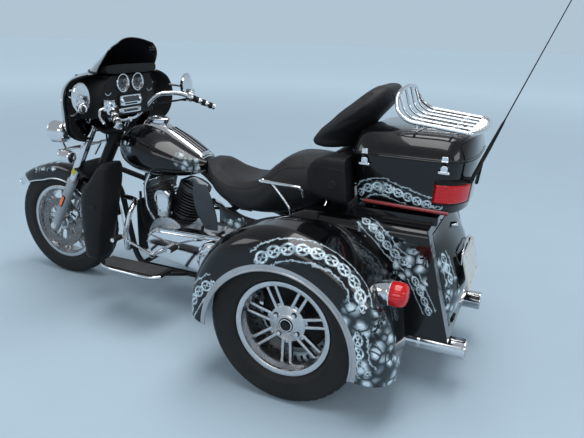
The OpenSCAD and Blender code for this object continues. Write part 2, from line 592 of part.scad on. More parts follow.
// ---------------------------------------------------------------- top trunk
trunk_c = -334;
trunk_z = [764, 978];
trunk_hx = trunk_l / 2 - 9;
trunk_hy = trunk_w / 2;
trunk_bow = 46;
function bowed(ring, hx, hy) = [for (p = ring) [p[0] - trunk_bow * pow(max(0, min(1, (trunk_c - p[0]) /
    hx)), 4) * (1 - pow(min(1, abs(p[1]) / hy), 2)), p[1], p[2]]];
function trunk_ring(z, g, gy = undef) = let(t = (z - trunk_z[0]) / (trunk_z[1] - trunk_z[0]), hx =
    trunk_hx - 22 * (1 - t) - g,
    hy = trunk_hy - 33 * (1 - t) - (is_undef(gy) ? g : gy)) bowed(flat_ring(trunk_c, 0, z, hx, hy, 7,
        40), hx, hy);
module trunk_form(g) loft([for (z = [trunk_z[0] - g, 800, 880, trunk_z[1] + g])
    [for (p = trunk_ring(min(max(z, trunk_z[0]), trunk_z[1]), -g)) [p[0], p[1], z]]]);
module trunk_box() color("#101014") {
    difference() {
        trunk_form(0);
        loft([for (z = [trunk_z[0] + wall_t, 800, 880, trunk_z[1] + 1]) trunk_ring(z, wall_t)]);
    }
    for (x = [-150, 150], y = [-180, 180]) translate([trunk_c + x, y, plinth_z + seat_gap]) cylinder(h =
        trunk_z[0] - plinth_z, r = 16);
    for (x = lid_hinges) for (s = [-1, 1]) translate([x + s * 24 - 4, lid_axis[0], lid_axis[1]]) {
        rotate([0, 90, 0]) cylinder(h = 8, r = 6);
        translate([0, -2, -14]) cube([8, -lid_axis[0] - trunk_hy + 6, 12.6]);
    }
    for (x = lid_hinges) translate([x - 26, lid_axis[0], lid_axis[1]]) rotate([0, 90, 0]) cylinder(h =
        52, r = 3);
}
lid_axis = [-trunk_hy - 8, trunk_z[1] + 1];
lid_hinges = [trunk_c - 120, trunk_c + 120];
lid_rows = [[978.3, 0, 0], [1020, 1, 2], [1046, 8, 10], [1062, 24, 28], [1070, 60, 70], [1074, 120, 140]];
function lid_ring(k, g) = let(hx = trunk_hx + 1 - lid_rows[k][1] - g, hy = trunk_hy + 1 - lid_rows[k][2]
    - g)
    bowed(flat_ring(trunk_c + lid_rows[k][1] * 0.1, 0, lid_rows[k][0] - (k == 0 ? 0 : g), hx, hy, 7, 40),
        hx, hy);
module lid_form(g) loft([for (k = [0:5]) lid_ring(k, -g)]);
module trunk_lid() color("#101014") difference() {
    union() {
        difference() {
            lid_form(0);
            loft(concat([lid_ring(0, wall_t) + [for (i = [0:31]) [0, 0, -1]]], [for (k = [1:5])
                lid_ring(k, wall_t)]));
        }
        for (x = lid_hinges) translate([x - 19.5, lid_axis[0], lid_axis[1]]) {
            rotate([0, 90, 0]) cylinder(h = 39, r = 6);
            translate([0, 0, 0]) cube([39, 9, 6]);
        }
    }
    for (x = lid_hinges) translate([x - 60, lid_axis[0], lid_axis[1]]) rotate([0, 90, 0]) cylinder(h =
        120, r = 3 + pin_gap);
}
rack_z = [1086, 1112];
rack_x = [-572, -330];
rack_y = 238;
rack_r = 6.5;
module luggage_rack() color("silver") {
    both_sides() bent_bar([[rack_x[0], rack_y, rack_z[0]], [rack_x[1], rack_y, rack_z[1]], [-286, rack_y
        - 12, rack_z[1] + 30], [-266, rack_y - 48, rack_z[1] + 80],
        [-268, rack_y - 104, rack_z[1] + 106], [-268, -4, rack_z[1] + 116]], rack_r + 1.5);
    for (y = [-144, -48, 48, 144]) bent_bar([[rack_x[0], y, rack_z[0]], [rack_x[1], y, rack_z[1]], [-292,
        y, rack_z[1] + 26], [-268, y, rack_z[1] + 100 - 40 * pow(y / 200, 4)]], rack_r - 1.5, n = 6);
    translate([0, 0, rack_z[0] - 6]) linear_extrude(12) polygon([[-560, -rack_y - 4], [-560, rack_y + 4],
        [-584, rack_y - 16], [-606, 140],
        [-620, 0], [-606, -140], [-584, -rack_y + 16]]);
    for (x = rack_posts) let(z = rack_z[0] + (rack_z[1] - rack_z[0]) * (x - rack_x[0]) / (rack_x[1] -
        rack_x[0])) {
        bar([x, -rack_y, z], [x, rack_y, z], rack_r - 1);
        difference() {
            for (y = [-150, 150]) translate([x, y, 1050]) cylinder(h = z - 1050, r = 8);
            lid_form(seat_gap);
        }
    }
}
rack_posts = [-350, -500];
function pad_ring(z, xc, hx, hw, wrap, n = 24) = [for (p = flat_ring(xc, 0, z, hx, hw, 3.2, n)) [p[0] +
    wrap * pow(abs(p[1]) / 235, 2), p[1], p[2]]];
upper_pad = [[984, -54, 46, 230], [1000, -53, 54, 244], [1030, -54, 56, 248], [1080, -86, 54, 243],
    [1130, -124, 52, 228], [1180, -166, 48, 196], [1215, -188, 35, 160], [1236, -198, 18, 120]];
module upper_backrest() color("#2a2a2e") {
    loft([for (p = upper_pad) pad_ring(p[0], p[1], p[2], p[3], 54)]);
    difference() {
        for (y = [-70, 70]) translate([-135, y - 20, 990]) cube([60, 40, 16]);
        lid_form(seat_gap);
    }
}
lower_pad = [[786, -56, 40, 196], [800, -54, 48, 208], [870, -52, 54, 212], [940, -52, 56, 212], [966,
    -54, 50, 206], [974, -56, 42, 198]];
module lower_backrest() color("#2a2a2e") difference() {
    union() {
        loft([for (p = lower_pad) pad_ring(p[0], p[1], p[2], p[3], 6)]);
        translate([-140, -120, 800]) cube([80, 240, 150]);
    }
    translate([10, -300, 700]) cube([200, 600, 300]);
    trunk_form(seat_gap);
}
module speaker_pods() color("#1c1c20") difference() {
    both_sides() loft([for (p = [[780, 98, 46], [790, 106, 54], [860, 110, 58], [934, 106, 56], [954, 94,
        46]])
        flat_ring(-60 + 0.1 * (p[0] - 790), 276, p[0], p[1], p[2], 3.4, 24)]);
    trunk_form(seat_gap);
}
latch_x = [-186, -497];
module trunk_latches() color("silver") difference() {
    for (x = latch_x) {
        translate([x - 14, trunk_hy - 14, 936]) cube([28, 22, 38]);
        translate([x - 24, trunk_hy - 14, 948]) cube([48, 20, 8]);
    }
    trunk_form(seat_gap);
}
module trunk_lamps() color("red") both_sides() difference() {
    intersection() {
        loft([for (z = [806, 894]) trunk_ring(z, -22, -8)]);
        translate([-700, 118, 700]) cube([250, 400, 300]);
    }
    trunk_form(seat_gap);
}
module antenna() color("black") {
    difference() {
        bar([-520, antenna_foot[1], antenna_foot[2] + 4], antenna_foot + [0, 0, 4], 8);
        trunk_form(seat_gap);
    }
    translate(antenna_foot) rotate([0, -antenna_lean, 0]) {
        translate([0, 0, -10]) cylinder(h = 250, r1 = 8, r2 = 5);
        translate([0, 0, 240]) cylinder(h = antenna_l - 240, r1 = 3, r2 = antenna_tip_r);
    }
}

// ---------------------------------------------------------------- fork and everything that steers
clamp_low = 402;
clamp_high = 698;
clamp_t = 26;
slider_r = slider_d / 2;
tube_r = 21;
leg_at = fork_offset;
bar_up = 762.4;
module fork() color("silver") {
    on_axis() {
        translate([0, 0, clamp_low]) cylinder(h = clamp_high + clamp_t - clamp_low, r = stem_r);
        for (z = [clamp_low, clamp_high]) translate([0, 0, z]) linear_extrude(clamp_t) polygon([[-32,
            -40], [-32, 40], [leg_at - 20, spread + 30],
            [leg_at + 24, spread + 30], [leg_at + 30, 0], [leg_at + 24, -spread - 30], [leg_at - 20,
                -spread - 30]]);
        for (s = [-1, 1]) translate([leg_at, s * spread, 0]) {
            translate([0, 0, -34]) cylinder(h = 366, r = slider_r);
            translate([0, 0, 330]) cylinder(h = clamp_high + 10 - 330, r = tube_r);
            translate([-14, s > 0 ? -slider_r - 4.6 : slider_r - 5.4, 236]) cube([28, 10, 60]);
        }
        for (s = [-1, 1]) translate([-1, s * 42, clamp_high + clamp_t - 1]) cylinder(h = bar_up - hb -
            1.5 - seat_gap - clamp_high - clamp_t + 1, r = 14);
        // brackets that carry the fairing
        for (s = [-1, 1]) translate([leg_at + 10, s * 70 - 5, clamp_low + 20]) cube([34, 10, 16]);
    }
    translate([wheelbase, 0, front_r]) across(-spread - slider_r - 4, spread + slider_r + 4, front_axle_r);
}
module brake_calipers() color("silver") translate([wheelbase, 0, front_r]) rotate([0, -rake, 0]) both_sides() difference() {
    union() {
        translate([-88, disc_y - 14, 78]) cube([50, 34, 62]);
        translate([-50, disc_y + 10, 92]) cube([36, 14, 30]);
    }
    across(disc_y - 7.5, disc_y + 7.5, 152);
    translate([0, spread, 0]) cylinder(h = 300, r = slider_r + seat_gap);
}
function front_fender_pt(a, p, g) = let(
    f = a < 70 ? pow((70 - a) / 39, 1.5) : 0, tail = a > 120 ? (a - 120) / 48 : 0,
    r = 353 + 54 * f + 10 * tail, skirt = 88 - 30 * f, e = 2 / 3.4,
    rr = r - skirt + skirt * spow(cos(p), e) - g)
    [wheelbase + rr * cos(a), ((80 - g) * (1 - 0.42 * f * f)) * spow(sin(p), e), front_r + rr * sin(a)];
front_fender_a = [30.9, 168];
module front_fender() color("#101014") thick_sheet(
    [for (p = [-90:15:90]) [for (k = [0:18]) front_fender_pt(front_fender_a[0] + (front_fender_a[1] -
        front_fender_a[0]) * k / 18, p, 0)]],
    [for (p = [-90:15:90]) [for (k = [0:18]) front_fender_pt(front_fender_a[0] + (front_fender_a[1] -
        front_fender_a[0]) * k / 18, p, 4)]], true);

// Fairing rows: height, half width, nose, and how far the edge sits behind the nose
fk = fairing_w / 850;
fairing_rows = [[860, 215, 1482, 175], [890, 315, 1490, 205], [930, 385, 1497, 235], [975, 412, 1502,
    258], [1030, 422, 1503, 268],
    [1085, 425, 1496, 262], [1130, 410, 1478, 240], [1160, 385, 1452, 212], [1182, 345, 1424, 182],
        [1196, 290, 1406, 176], [1206, 226, 1394, 186]];
function fairing_col(i, c) = [for (r = fairing_rows) [r[0], r[c]]];
function fairing_pt(z, t, g) = let(w = curve(fairing_col(0, 1), z) * fk, xf = curve(fairing_col(0, 2),
    z), d = curve(fairing_col(0, 3), z))
    [xf - d * pow(abs(t), 2.3) - g, (w - g) * t, z];
fairing_z = [860, 875, 895, 930, 975, 1030, 1085, 1130, 1160, 1182, 1196, 1206];
module fairing_shell() color("#101014") {
    translate([1389.5, -16, 1200]) cube([5, 32, 11.6]);
    thick_sheet([for (z = fairing_z) [for (k = [-11:11]) fairing_pt(z, k / 11, 0)]],
        [for (z = fairing_z) [for (k = [-11:11]) fairing_pt(z, k / 11, panel_t)]]);
}
module fairing_form(g) loft([for (z = fairing_z) concat([for (k = [-11:11]) fairing_pt(z, k / 11, -g)],
    [[1240, fairing_pt(z, 1, 0)[1] - 40, z], [1240, -fairing_pt(z, 1, 0)[1] + 40, z]])]);
// The inner face: gauges in the middle, a pocket each side, then a deck to the windshield
dash_edge = [[860, 1300], [930, 1256], [1030, 1232], [1130, 1235], [1200, 1256]];
function dash_pt(z, t) = let(w = curve(fairing_col(0, 1), min(z, 1196)) * fk - panel_t - 3 - 2 * min(1,
    max(0, (z - 1040) / 60))
        - 11 * max(0, (z - 1150) / 42), a = abs(t),
    edge = fairing_pt(min(z, 1196), 1, 0)[0] - 9, mid = 1206 - 14 * (z - 985) / 215,
    pocket = a < 0.5 ? mid : a < 0.62 ? mid + (1300 - mid) * (a - 0.5) / 0.12 : a < 0.84 ? 1300 : edge +
        (1300 - edge) * (1 - (a - 0.84) / 0.16))
    [min(pocket, 1300 - 14 * max(0, (z - 1150) / 42)), w * t, z];
dash_z = [872, 930, 985, 1040, 1095, 1150, 1192];
dash_half = [0.25, 0.5, 0.56, 0.62, 0.7, 0.77, 0.84, 0.88, 0.92, 0.96, 1];
dash_t = concat([for (k = [10:-1:0]) -dash_half[k]], [0], dash_half);
module fairing_dash() color("#1c1c20") difference() {
    union() {
        thick_sheet([for (z = dash_z) [for (t = dash_t) dash_pt(z, t)]],
            [for (z = dash_z) [for (t = dash_t) dash_pt(z, t) + [4, 0, 0]]], true);
        // instrument hood, deck and the shelf inside the shell's top
        loft([for (x = [1176, 1200, 1230, 1260, 1300, 1340, 1368]) let(h = 1244 - 40 * pow((x - 1176) /
            196, 1.4),
            w = min(192, shield_rows[0][1] * pow((shield_rows[0][2] - x) / shield_rows[0][3], 1 / 2.2) -
                16))
            [for (p = [[-1, 0], [-0.6, 1], [0.6, 1], [1, 0], [1, -1], [-1, -1]])
                [x, p[0] * w, p[1] > 0 ? h : p[1] == 0 ? h - 22 : h - 44]]], true);
        loft([for (z = [1188, 1195]) concat([for (k = [-11:11]) fairing_pt(z, k / 11, panel_t + 9)],
            [[1200, 190, z], [1200, -190, z]])]);
    }
    translate([1100, -216, 800]) cube([300, 432, 185]);
    both_sides() bar(hb_pts[1], hb_pts[2], hb + 5);
}
shield_rows = [[1212, 222, 1392, 182], [1250, 220, 1340, 150], [1300, 208, 1270, 104], [1345, 184, 1208,
    58], [1376, 140, 1162, 26]];
function shield_col(c) = [for (r = shield_rows) [r[0], r[c]]];
function shield_pt(k, t, g) = let(z = shield_rows[0][0] + 164 * k / 8)
    [curve(shield_col(2), z) - curve(shield_col(3), z) * pow(abs(t), 2.2) + g, (curve(shield_col(1), z) +
        g) * t, z - 24 * t * t * k / 8];
module windshield() color("#222233", 0.8) thick_sheet([for (k = [0:8]) [for (t = [-12:12]) shield_pt(k, t / 12, 4)]],
    [for (k = [0:8]) [for (t = [-12:12]) shield_pt(k, t / 12, 0)]]);
bar_z = 800;
bar_x = 1478;
module front_lamps() color("silver") {
    difference() {
        translate([1440, 0, 1002]) rotate([0, 90, 0]) { cylinder(h = 112, r = 98); cylinder(h = 122, r1 =
            98, r2 = 78); }
        fairing_form(seat_gap);
    }
    difference() {
        both_sides() {
            translate([1462, 205, 893]) rotate([0, 90, 0]) { cylinder(h = 74, r = 54); translate([0, 0,
                -22]) cylinder(h = 23, r1 = 30, r2 = 54); }
            bar([bar_x, 200, bar_z], [1498, 205, 850], 10);
            translate([1372, 262, 780]) rotate([0, 90, 0]) { cylinder(h = 62, r = 34); translate([0, 0,
                60]) cylinder(h = 22, r1 = 34, r2 = 16); }
            bar([bar_x - 4, 240, bar_z - 2], [1430, 256, 784], 8);
        }
        fairing_form(seat_gap);
    }
    bar([bar_x, -252, bar_z], [bar_x, 252, bar_z], 9);
    for (s = [-1, 1]) bar(steer_pt([leg_at + 53.4, s * 70, clamp_low + 28]), [bar_x, s * 70, bar_z], 8);
}
grip_end = [930, handlebar_w / 2, 1000];
hb = handlebar_d / 2;
hb_pts = [[1256, 42, 952], [1250, 110, 962], [1178, 205, 1078], [1085, 290, 1082], [grip_end[0],
    grip_end[1], grip_end[2]]];
module handlebar() color("silver") {
    bar([hb_pts[0][0], -60, hb_pts[0][2]], [hb_pts[0][0], 60, hb_pts[0][2]], hb + 1.5);
    both_sides() {
        bent_bar(hb_pts, hb);
        bar(hb_pts[4] + (hb_pts[3] - hb_pts[4]) * 0.62, hb_pts[4], 17);
    }
}
function on_bar(t) = hb_pts[4] + (hb_pts[3] - hb_pts[4]) * t;
module hand_controls() color("#202020") both_sides() {
    difference() {
        bar(on_bar(0.80), on_bar(0.63), 28);
        bar(on_bar(1.2), on_bar(0.2), hb + seat_gap);
    }
    bent_bar([on_bar(0.72) + [20, 20, 0], on_bar(0.70) + [52, 30, 4], on_bar(0.12) + [50, 40, 4]], 6);
}
module mirrors() color("#202020") both_sides() {
    translate([1122, 424, 1114]) rotate([0, 90, 0]) scale([1.4, 1, 1]) cylinder(h = 34, r1 = 47, r2 = 36);
    bar([1150, 412, 1114], [1228.4, 404, 1114], 7);
}

place() frame();
place() rear_axle();
place() engine_case();
place() cylinders();
place() primary_cover();
place() air_cleaner();
place() exhaust();
place() fuel_tank();
place() tank_console();
place() fuel_door();
place() seat();
place() grab_rails();
place() side_covers();
place() air_deflectors();
place() lower_fairings();
place() engine_guard();
place() floorboards();
place() foot_controls();
place() rear_body();
place() rear_fenders();
place() rear_lamps();
place() cargo_door();
place() number_plate();
place() trunk_box();
place() trunk_lid();
place() luggage_rack();
place() upper_backrest();
place() lower_backrest();
place() speaker_pods();
place() trunk_latches();
place() trunk_lamps();
place() antenna();
place() fork();
place() brake_calipers();
place() front_fender();
place() fairing_shell();
place() fairing_dash();
place() windshield();
place() front_lamps();
place() handlebar();
place() hand_controls();
place() mirrors();
place() front_tyre();
place() front_rim();
place() left_tyre();
place() left_rim();
place() right_tyre();
place() right_rim();
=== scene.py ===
"""Visual model of a touring three-wheeler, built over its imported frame.

Every shape is worked out in the vehicle's own millimetres, X forward from the rear axle, Y left and
Z up from the floor, and is put into its mesh in metres in the frame's own coordinates.
"""

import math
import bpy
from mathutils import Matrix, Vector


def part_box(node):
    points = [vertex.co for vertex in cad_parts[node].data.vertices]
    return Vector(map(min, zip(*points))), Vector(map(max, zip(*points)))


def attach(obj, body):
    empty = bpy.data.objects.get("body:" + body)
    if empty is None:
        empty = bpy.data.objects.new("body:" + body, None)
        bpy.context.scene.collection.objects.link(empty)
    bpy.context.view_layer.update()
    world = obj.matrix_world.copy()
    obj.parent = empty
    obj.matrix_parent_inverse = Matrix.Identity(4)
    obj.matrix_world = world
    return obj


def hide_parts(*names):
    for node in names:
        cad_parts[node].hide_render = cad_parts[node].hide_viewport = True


bl_info = {
    "name": "Touring three-wheeler",
    "version": (1, 0, 0),
    "blender": (4, 5, 0),
    "location": "View3D > Sidebar > Trike",
    "description": "Builds the bodywork, seat, wheels, lamps and stage of a touring three-wheeler",
    "category": "Add Mesh",
}

import bmesh
import bpy
import numpy as np
from mathutils import Matrix, Vector

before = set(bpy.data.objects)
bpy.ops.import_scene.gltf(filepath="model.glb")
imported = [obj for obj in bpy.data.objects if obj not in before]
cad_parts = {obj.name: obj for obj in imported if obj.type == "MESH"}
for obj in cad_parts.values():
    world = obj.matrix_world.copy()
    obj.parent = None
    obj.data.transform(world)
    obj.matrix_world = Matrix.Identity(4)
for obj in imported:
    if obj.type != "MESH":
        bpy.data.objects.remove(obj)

_low, _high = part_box("left_tyre")
ORIGIN_X = -500 * (_low.x + _high.x)
TAU = 2 * math.pi

# front axle ahead of the rear one, wheel radii and half track, in millimetres
WHEELBASE, FRONT_R, REAR_R, HALF_TRACK = 1692, 322.0, 324.0, 555
# camera: lens and sensor in millimetres, turn, tilt and roll in radians, place in metres
LENS, SENSOR = 35.35, 36.0
VIEW_TURN, VIEW_TILT, VIEW_ROLL = -1.161, -0.318, 0.031
VIEW_PLACE = (-0.818, 2.455, 1.434)


# ---------------------------------------------------------------- numbers and surfaces
def curve(table, x):
    """Smooth value at x through [place, value] rows: a cubic between two rows whose slopes are those of
    the chords across each row."""
    t, x = np.asarray(table, float), np.asarray(x, float)
    i = np.clip(np.searchsorted(t[:, 0], x, side="right") - 1, 0, len(t) - 2)
    k = np.arange(len(t))
    a, b = np.maximum(k - 1, 0), np.minimum(k + 1, len(t) - 1)
    s = (t[b, 1] - t[a, 1]) / (t[b, 0] - t[a, 0])
    h = t[i + 1, 0] - t[i, 0]
    u = np.clip((x - t[i, 0]) / h, 0, 1)
    return ((2 * u**3 - 3 * u**2 + 1) * t[i, 1] + (u**3 - 2 * u**2 + u) * s[i] * h
            + (3 * u**2 - 2 * u**3) * t[i + 1, 1] + (u**3 - u**2) * s[i + 1] * h)


def spow(v, e):
    """Power of the size of v, with the sign kept."""
    return np.sign(v) * np.abs(v) ** e


def ramp(a, b, x):
    """Smooth step from 0 at a to 1 at b."""
    u = np.clip((np.asarray(x, float) - a) / (b - a), 0, 1)
    return u * u * (3 - 2 * u)


def stack(*xyz):
    """Point grid from three coordinate grids."""
    return np.stack(np.broadcast_arrays(*[np.asarray(c, float) for c in xyz]), axis=-1)


def span(a, b, n):
    """n + 1 even steps from a to b."""
    return np.linspace(a, b, n + 1)


def unit(v):
    """Vectors of length one."""
    v = np.asarray(v, float)
    return v / np.maximum(np.linalg.norm(v, axis=-1, keepdims=True), 1e-9)


def grid_normals(p):
    """Cross product of the steps along the columns and along the rows of a point grid."""
    return unit(np.cross(np.gradient(p, axis=1), np.gradient(p, axis=0)))


def rounded_path(points, q, n=6):
    """Route with each corner replaced by a parabola that leaves it q before and after the corner."""
    p = np.asarray(points, float)
    out, t = [p[:1]], span(0, 1, n)[:, None]
    for a, b, c in zip(p[:-2], p[1:-1], p[2:]):
        d = min(q, np.linalg.norm(a - b) * 0.45, np.linalg.norm(c - b) * 0.45)
        u, v = b + unit(a - b) * d, b + unit(c - b) * d
        out.append((1 - t) ** 2 * u + 2 * t * (1 - t) * b + t * t * v)
    return np.concatenate(out + [p[-1:]])


STEER_S, STEER_C = math.sin(math.radians(29)), math.cos(math.radians(29))
STEER_X, STEER_Z = WHEELBASE - 75 * STEER_C, FRONT_R - 75 * STEER_S


def on_fork(p):
    """Points given forward of, left of and up along the steering axis, in the vehicle's axes."""
    p = np.asarray(p, float)
    return stack(STEER_X + p[..., 0] * STEER_C - p[..., 2] * STEER_S, p[..., 1],
                 STEER_Z + p[..., 0] * STEER_S + p[..., 2] * STEER_C)


def mirrored(p):
    """The same points on the machine's other side."""
    return np.asarray(p, float) * (1, -1, 1)


class Shape:
    """Faces of one piece, gathered in millimetres and made into one mesh by done()."""

    def __init__(self):
        self.points, self.faces, self.slots, self.uvs, self.art, self.count = [], [], [], [], [], 0

    def add(self, points, faces, mat, uv, art=None):
        self.points.append(points)
        self.faces += (np.asarray(faces) + self.count).tolist()
        self.slots += [mat] * len(faces)
        self.uvs.append(np.asarray(uv, float).reshape(-1, 2))
        self.art.append(np.zeros((len(points), 4)) if art is None else art.reshape(-1, 4))
        self.count += len(points)

    def grid(self, p, mat=0, wrap=(False, False), us=None, vs=None, art=None):
        """Quads through p[row, column]; wrap joins the last row or column back to the first."""
        m, n = p.shape[:2]
        r, c = np.arange(m if wrap[0] else m - 1)[:, None], np.arange(n if wrap[1] else n - 1)[None]
        r1, c1 = (r + 1) % m, (c + 1) % n
        quads = np.stack(np.broadcast_arrays(r * n + c, r * n + c1, r1 * n + c1, r1 * n + c), -1).reshape(-1, 4)
        us = span(0, 1, c.size) if us is None else np.asarray(us, float)
        vs = span(0, 1, r.size) if vs is None else np.asarray(vs, float)
        u0, u1, v0, v1 = us[c], us[c + 1], vs[r], vs[r + 1]
        uv = np.stack([np.stack(np.broadcast_arrays(a, b), -1) for a, b in ((u0, v0), (u1, v0), (u1, v1),
                (u0, v1))], -2)
        self.add(p.reshape(-1, 3), quads, mat, uv, art)
        return self

    def loop_caps(self, p, mat=0, ends=(True, True)):
        """Flat ends on the first and last rows of a grid that was just added with its columns joined."""
        m, n = p.shape[:2]
        base = self.count - m * n
        for use, row in zip(ends, (0, m - 1)):
            if use:
                face = (base + row * n + np.arange(n)).tolist()
                self.faces.append(face)
                self.slots.append(mat)
                self.uvs.append(np.full((n, 2), 0.5))
        return self

    def loft(self, rings, mat=0, **kw):
        """Closed skin through a stack of rings, with flat ends."""
        rings = np.asarray(rings, float)
        self.grid(rings, mat, (False, True), **kw)
        return self.loop_caps(rings, mat)

    def sheet(self, p, t, mat=0, inner=None, art=None):
        """Panel t thick: the surface p, the same surface moved t along its normal, and the edge between."""
        q = p - grid_normals(p) * t if inner is None else inner
        m, n = p.shape[:2]
        a = np.arange(m * n).reshape(m, n)
        self.grid(p, mat, art=art)
        base = self.count - m * n
        self.grid(q, mat, art=art)
        edge = np.concatenate([a[0, :-1], a[:-1, -1], a[-1, :0:-1], a[:0:-1, 0]])
        nxt = np.roll(edge, -1)
        quads = np.stack([edge, nxt, nxt + m * n, edge + m * n], -1) + base
        self.faces += quads.tolist()
        self.slots += [mat] * len(quads)
        self.uvs.append(np.zeros((len(quads) * 4, 2)))
        return self

    def tube(self, path, r, mat=0, n=16, flat=1.0, closed=False):
        """Round section of radius r carried along a path; r may be one number a point. The section's
        side vector is the last one made square to each new direction."""
        p = np.asarray(path, float)
        d = unit(np.roll(p, -1, 0) - np.roll(p, 1, 0)) if closed else unit(np.gradient(p, axis=0))
        side = [unit(np.cross(d[0], (0.3, 1, 0.2)))]
        for v in d[1:]:
            side.append(unit(side[-1] - (side[-1] @ v) * v))
        side = np.array(side)
        up = np.cross(d, side)
        a = (np.arange(n) + 0.5) * TAU / n
        r = np.broadcast_to(np.asarray(r, float), len(p))[:, None, None]
        rings = p[:, None] + r * (np.cos(a)[:, None] * side[:, None] + flat * np.sin(a)[:, None] * up[:, None])
        length = np.concatenate([[0], np.cumsum(np.linalg.norm(np.diff(p, axis=0), axis=1))]) / 1000
        if closed:
            return self.grid(rings, mat, (True, True))
        self.grid(rings, mat, (False, True), vs=length)
        return self.loop_caps(rings, mat)

    def turned(self, profile, at=(0, 0, 0), axis=(0, 1, 0), mat=0, n=64, ends=(True, True), squeeze=1.0,
            us=None):
        """Profile rows of radius and distance along an axis, turned once round it. The first across
        direction is square to the axis and to Z, so that angle 0 is level."""
        w = unit(axis)
        u = unit(np.cross(w, (0, 0, 1))) if abs(w[2]) < 0.9 else np.array([1.0, 0, 0])
        v = np.cross(w, u)
        a = np.arange(n) * TAU / n
        pr = np.asarray(profile, float)
        rings = (np.asarray(at, float) + pr[:, 1, None, None] * w
                 + pr[:, 0, None, None] * (np.cos(a)[:, None] * u + squeeze * np.sin(a)[:, None] * v))
        self.grid(rings, mat, (False, True), us=us)
        return self.loop_caps(rings, mat, ends)

    def block(self, at, half, mat=0, e=7.0, n=20, basis=None):
        """Brick with rounded edges: a superellipse in plan whose size follows another one in height."""
        a, b = (np.arange(n) + 0.5) * TAU / n, span(-math.pi / 2 * 0.985, math.pi / 2 * 0.985, 8)[:, None]
        c = spow(np.cos(b), 2 / e)
        q = stack(c * spow(np.cos(a), 2 / e) * half[0], c * spow(np.sin(a), 2 / e) * half[1], spow(np.sin(b),
                2 / e) * half[2])
        return self.loft(q @ np.asarray(basis if basis is not None else np.eye(3), float) + np.asarray(at,
                float), mat)

    def merge(self, other, flip=False):
        """Adds all of another shape, or its mirror image."""
        self.points += [mirrored(p) if flip else p for p in other.points]
        self.art += other.art
        self.uvs += other.uvs
        self.slots += other.slots
        self.faces += [[i + self.count for i in f] for f in other.faces]
        self.count += other.count
        return self

    def both(self):
        """Adds the mirror image of all that is there."""
        k = len(self.points)
        count, faces, slots = self.count, list(self.faces), list(self.slots)
        self.points += [mirrored(p) for p in self.points[:k]]
        self.art += self.art[:k]
        self.faces += [[i + count for i in f] for f in faces]
        self.slots += slots
        self.uvs += self.uvs[:]
        self.count *= 2
        return self

    def done(self, name, body, slot, mats, stands_for=(), angle=38, turn=True):
        """Makes the object: points in metres, corner UVs, one material a slot, normals outwards."""
        p = (np.concatenate(self.points) - (ORIGIN_X, 0, 0)) / 1000
        mesh = bpy.data.meshes.new(name)
        mesh.from_pydata(p.tolist(), [], self.faces)
        mesh.uv_layers.new(name="UVMap").data.foreach_set("uv", np.concatenate(self.uvs).ravel())
        art = np.concatenate(self.art)
        if art.any():
            layer = mesh.attributes.new("art", "FLOAT_COLOR", "POINT")
            layer.data.foreach_set("color", art.ravel())
        for m in mats:
            mesh.materials.append(m if isinstance(m, bpy.types.Material) else FINISH[m])
        mesh.polygons.foreach_set("material_index", self.slots)
        mesh.polygons.foreach_set("use_smooth", [True] * len(mesh.polygons))
        if turn:
            bm = bmesh.new()
            bm.from_mesh(mesh)
            bmesh.ops.remove_doubles(bm, verts=bm.verts, dist=2e-6)
            bmesh.ops.recalc_face_normals(bm, faces=bm.faces)
            bm.to_mesh(mesh)
            bm.free()
        mesh.set_sharp_from_angle(angle=math.radians(angle))
        piece = bpy.data.objects.new(name, mesh)
        bpy.context.scene.collection.objects.link(piece)
        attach(piece, body)
        if stands_for:
            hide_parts(*stands_for)
        return piece


# ---------------------------------------------------------------- finishes
FINISH = {}


def wire(tree, kind, *inputs, out=0, **props):
    """Adds one node, sets its properties, and sets or links its inputs in order; None leaves one alone."""
    node = tree.nodes.new(kind)
    for key, value in props.items():
        setattr(node, key, value)
    for socket, value in zip(node.inputs, inputs):
        if isinstance(value, bpy.types.NodeSocket):
            tree.links.new(value, socket)
        elif value is not None:
            socket.default_value = value
    return node.outputs[out]


def maths(tree, op, a, b=None, c=None, clamp=False):
    """One Math node."""
    return wire(tree, "ShaderNodeMath", a, b, c, operation=op, use_clamp=clamp)


def remap(tree, value, a, b, low=0.0, high=1.0, kind="SMOOTHSTEP"):
    """Value between a and b brought to low and high, smoothly unless kind says otherwise."""
    return wire(tree, "ShaderNodeMapRange", value, a, b, low, high, interpolation_type=kind)


def mixed(tree, factor, a, b):
    """Blend of two colours by a factor."""
    node = tree.nodes.new("ShaderNodeMix")
    node.data_type = "RGBA"
    for socket, value in zip((node.inputs[0], node.inputs[6], node.inputs[7]), (factor, a, b)):
        if isinstance(value, bpy.types.NodeSocket):
            tree.links.new(value, socket)
        else:
            socket.default_value = value
    return node.outputs[2]


def new_group(name, inputs, outputs):
    """Empty shader group with float or vector inputs and named outputs."""
    group = bpy.data.node_groups.new(name, "ShaderNodeTree")
    for label, kind, value in inputs:
        socket = group.interface.new_socket(name=label, in_out="INPUT", socket_type=kind)
        if value is not None:
            socket.default_value = value
    for label, kind in outputs:
        group.interface.new_socket(name=label, in_out="OUTPUT", socket_type=kind)
    return group, group.nodes.new("NodeGroupInput").outputs, group.nodes.new("NodeGroupOutput").inputs


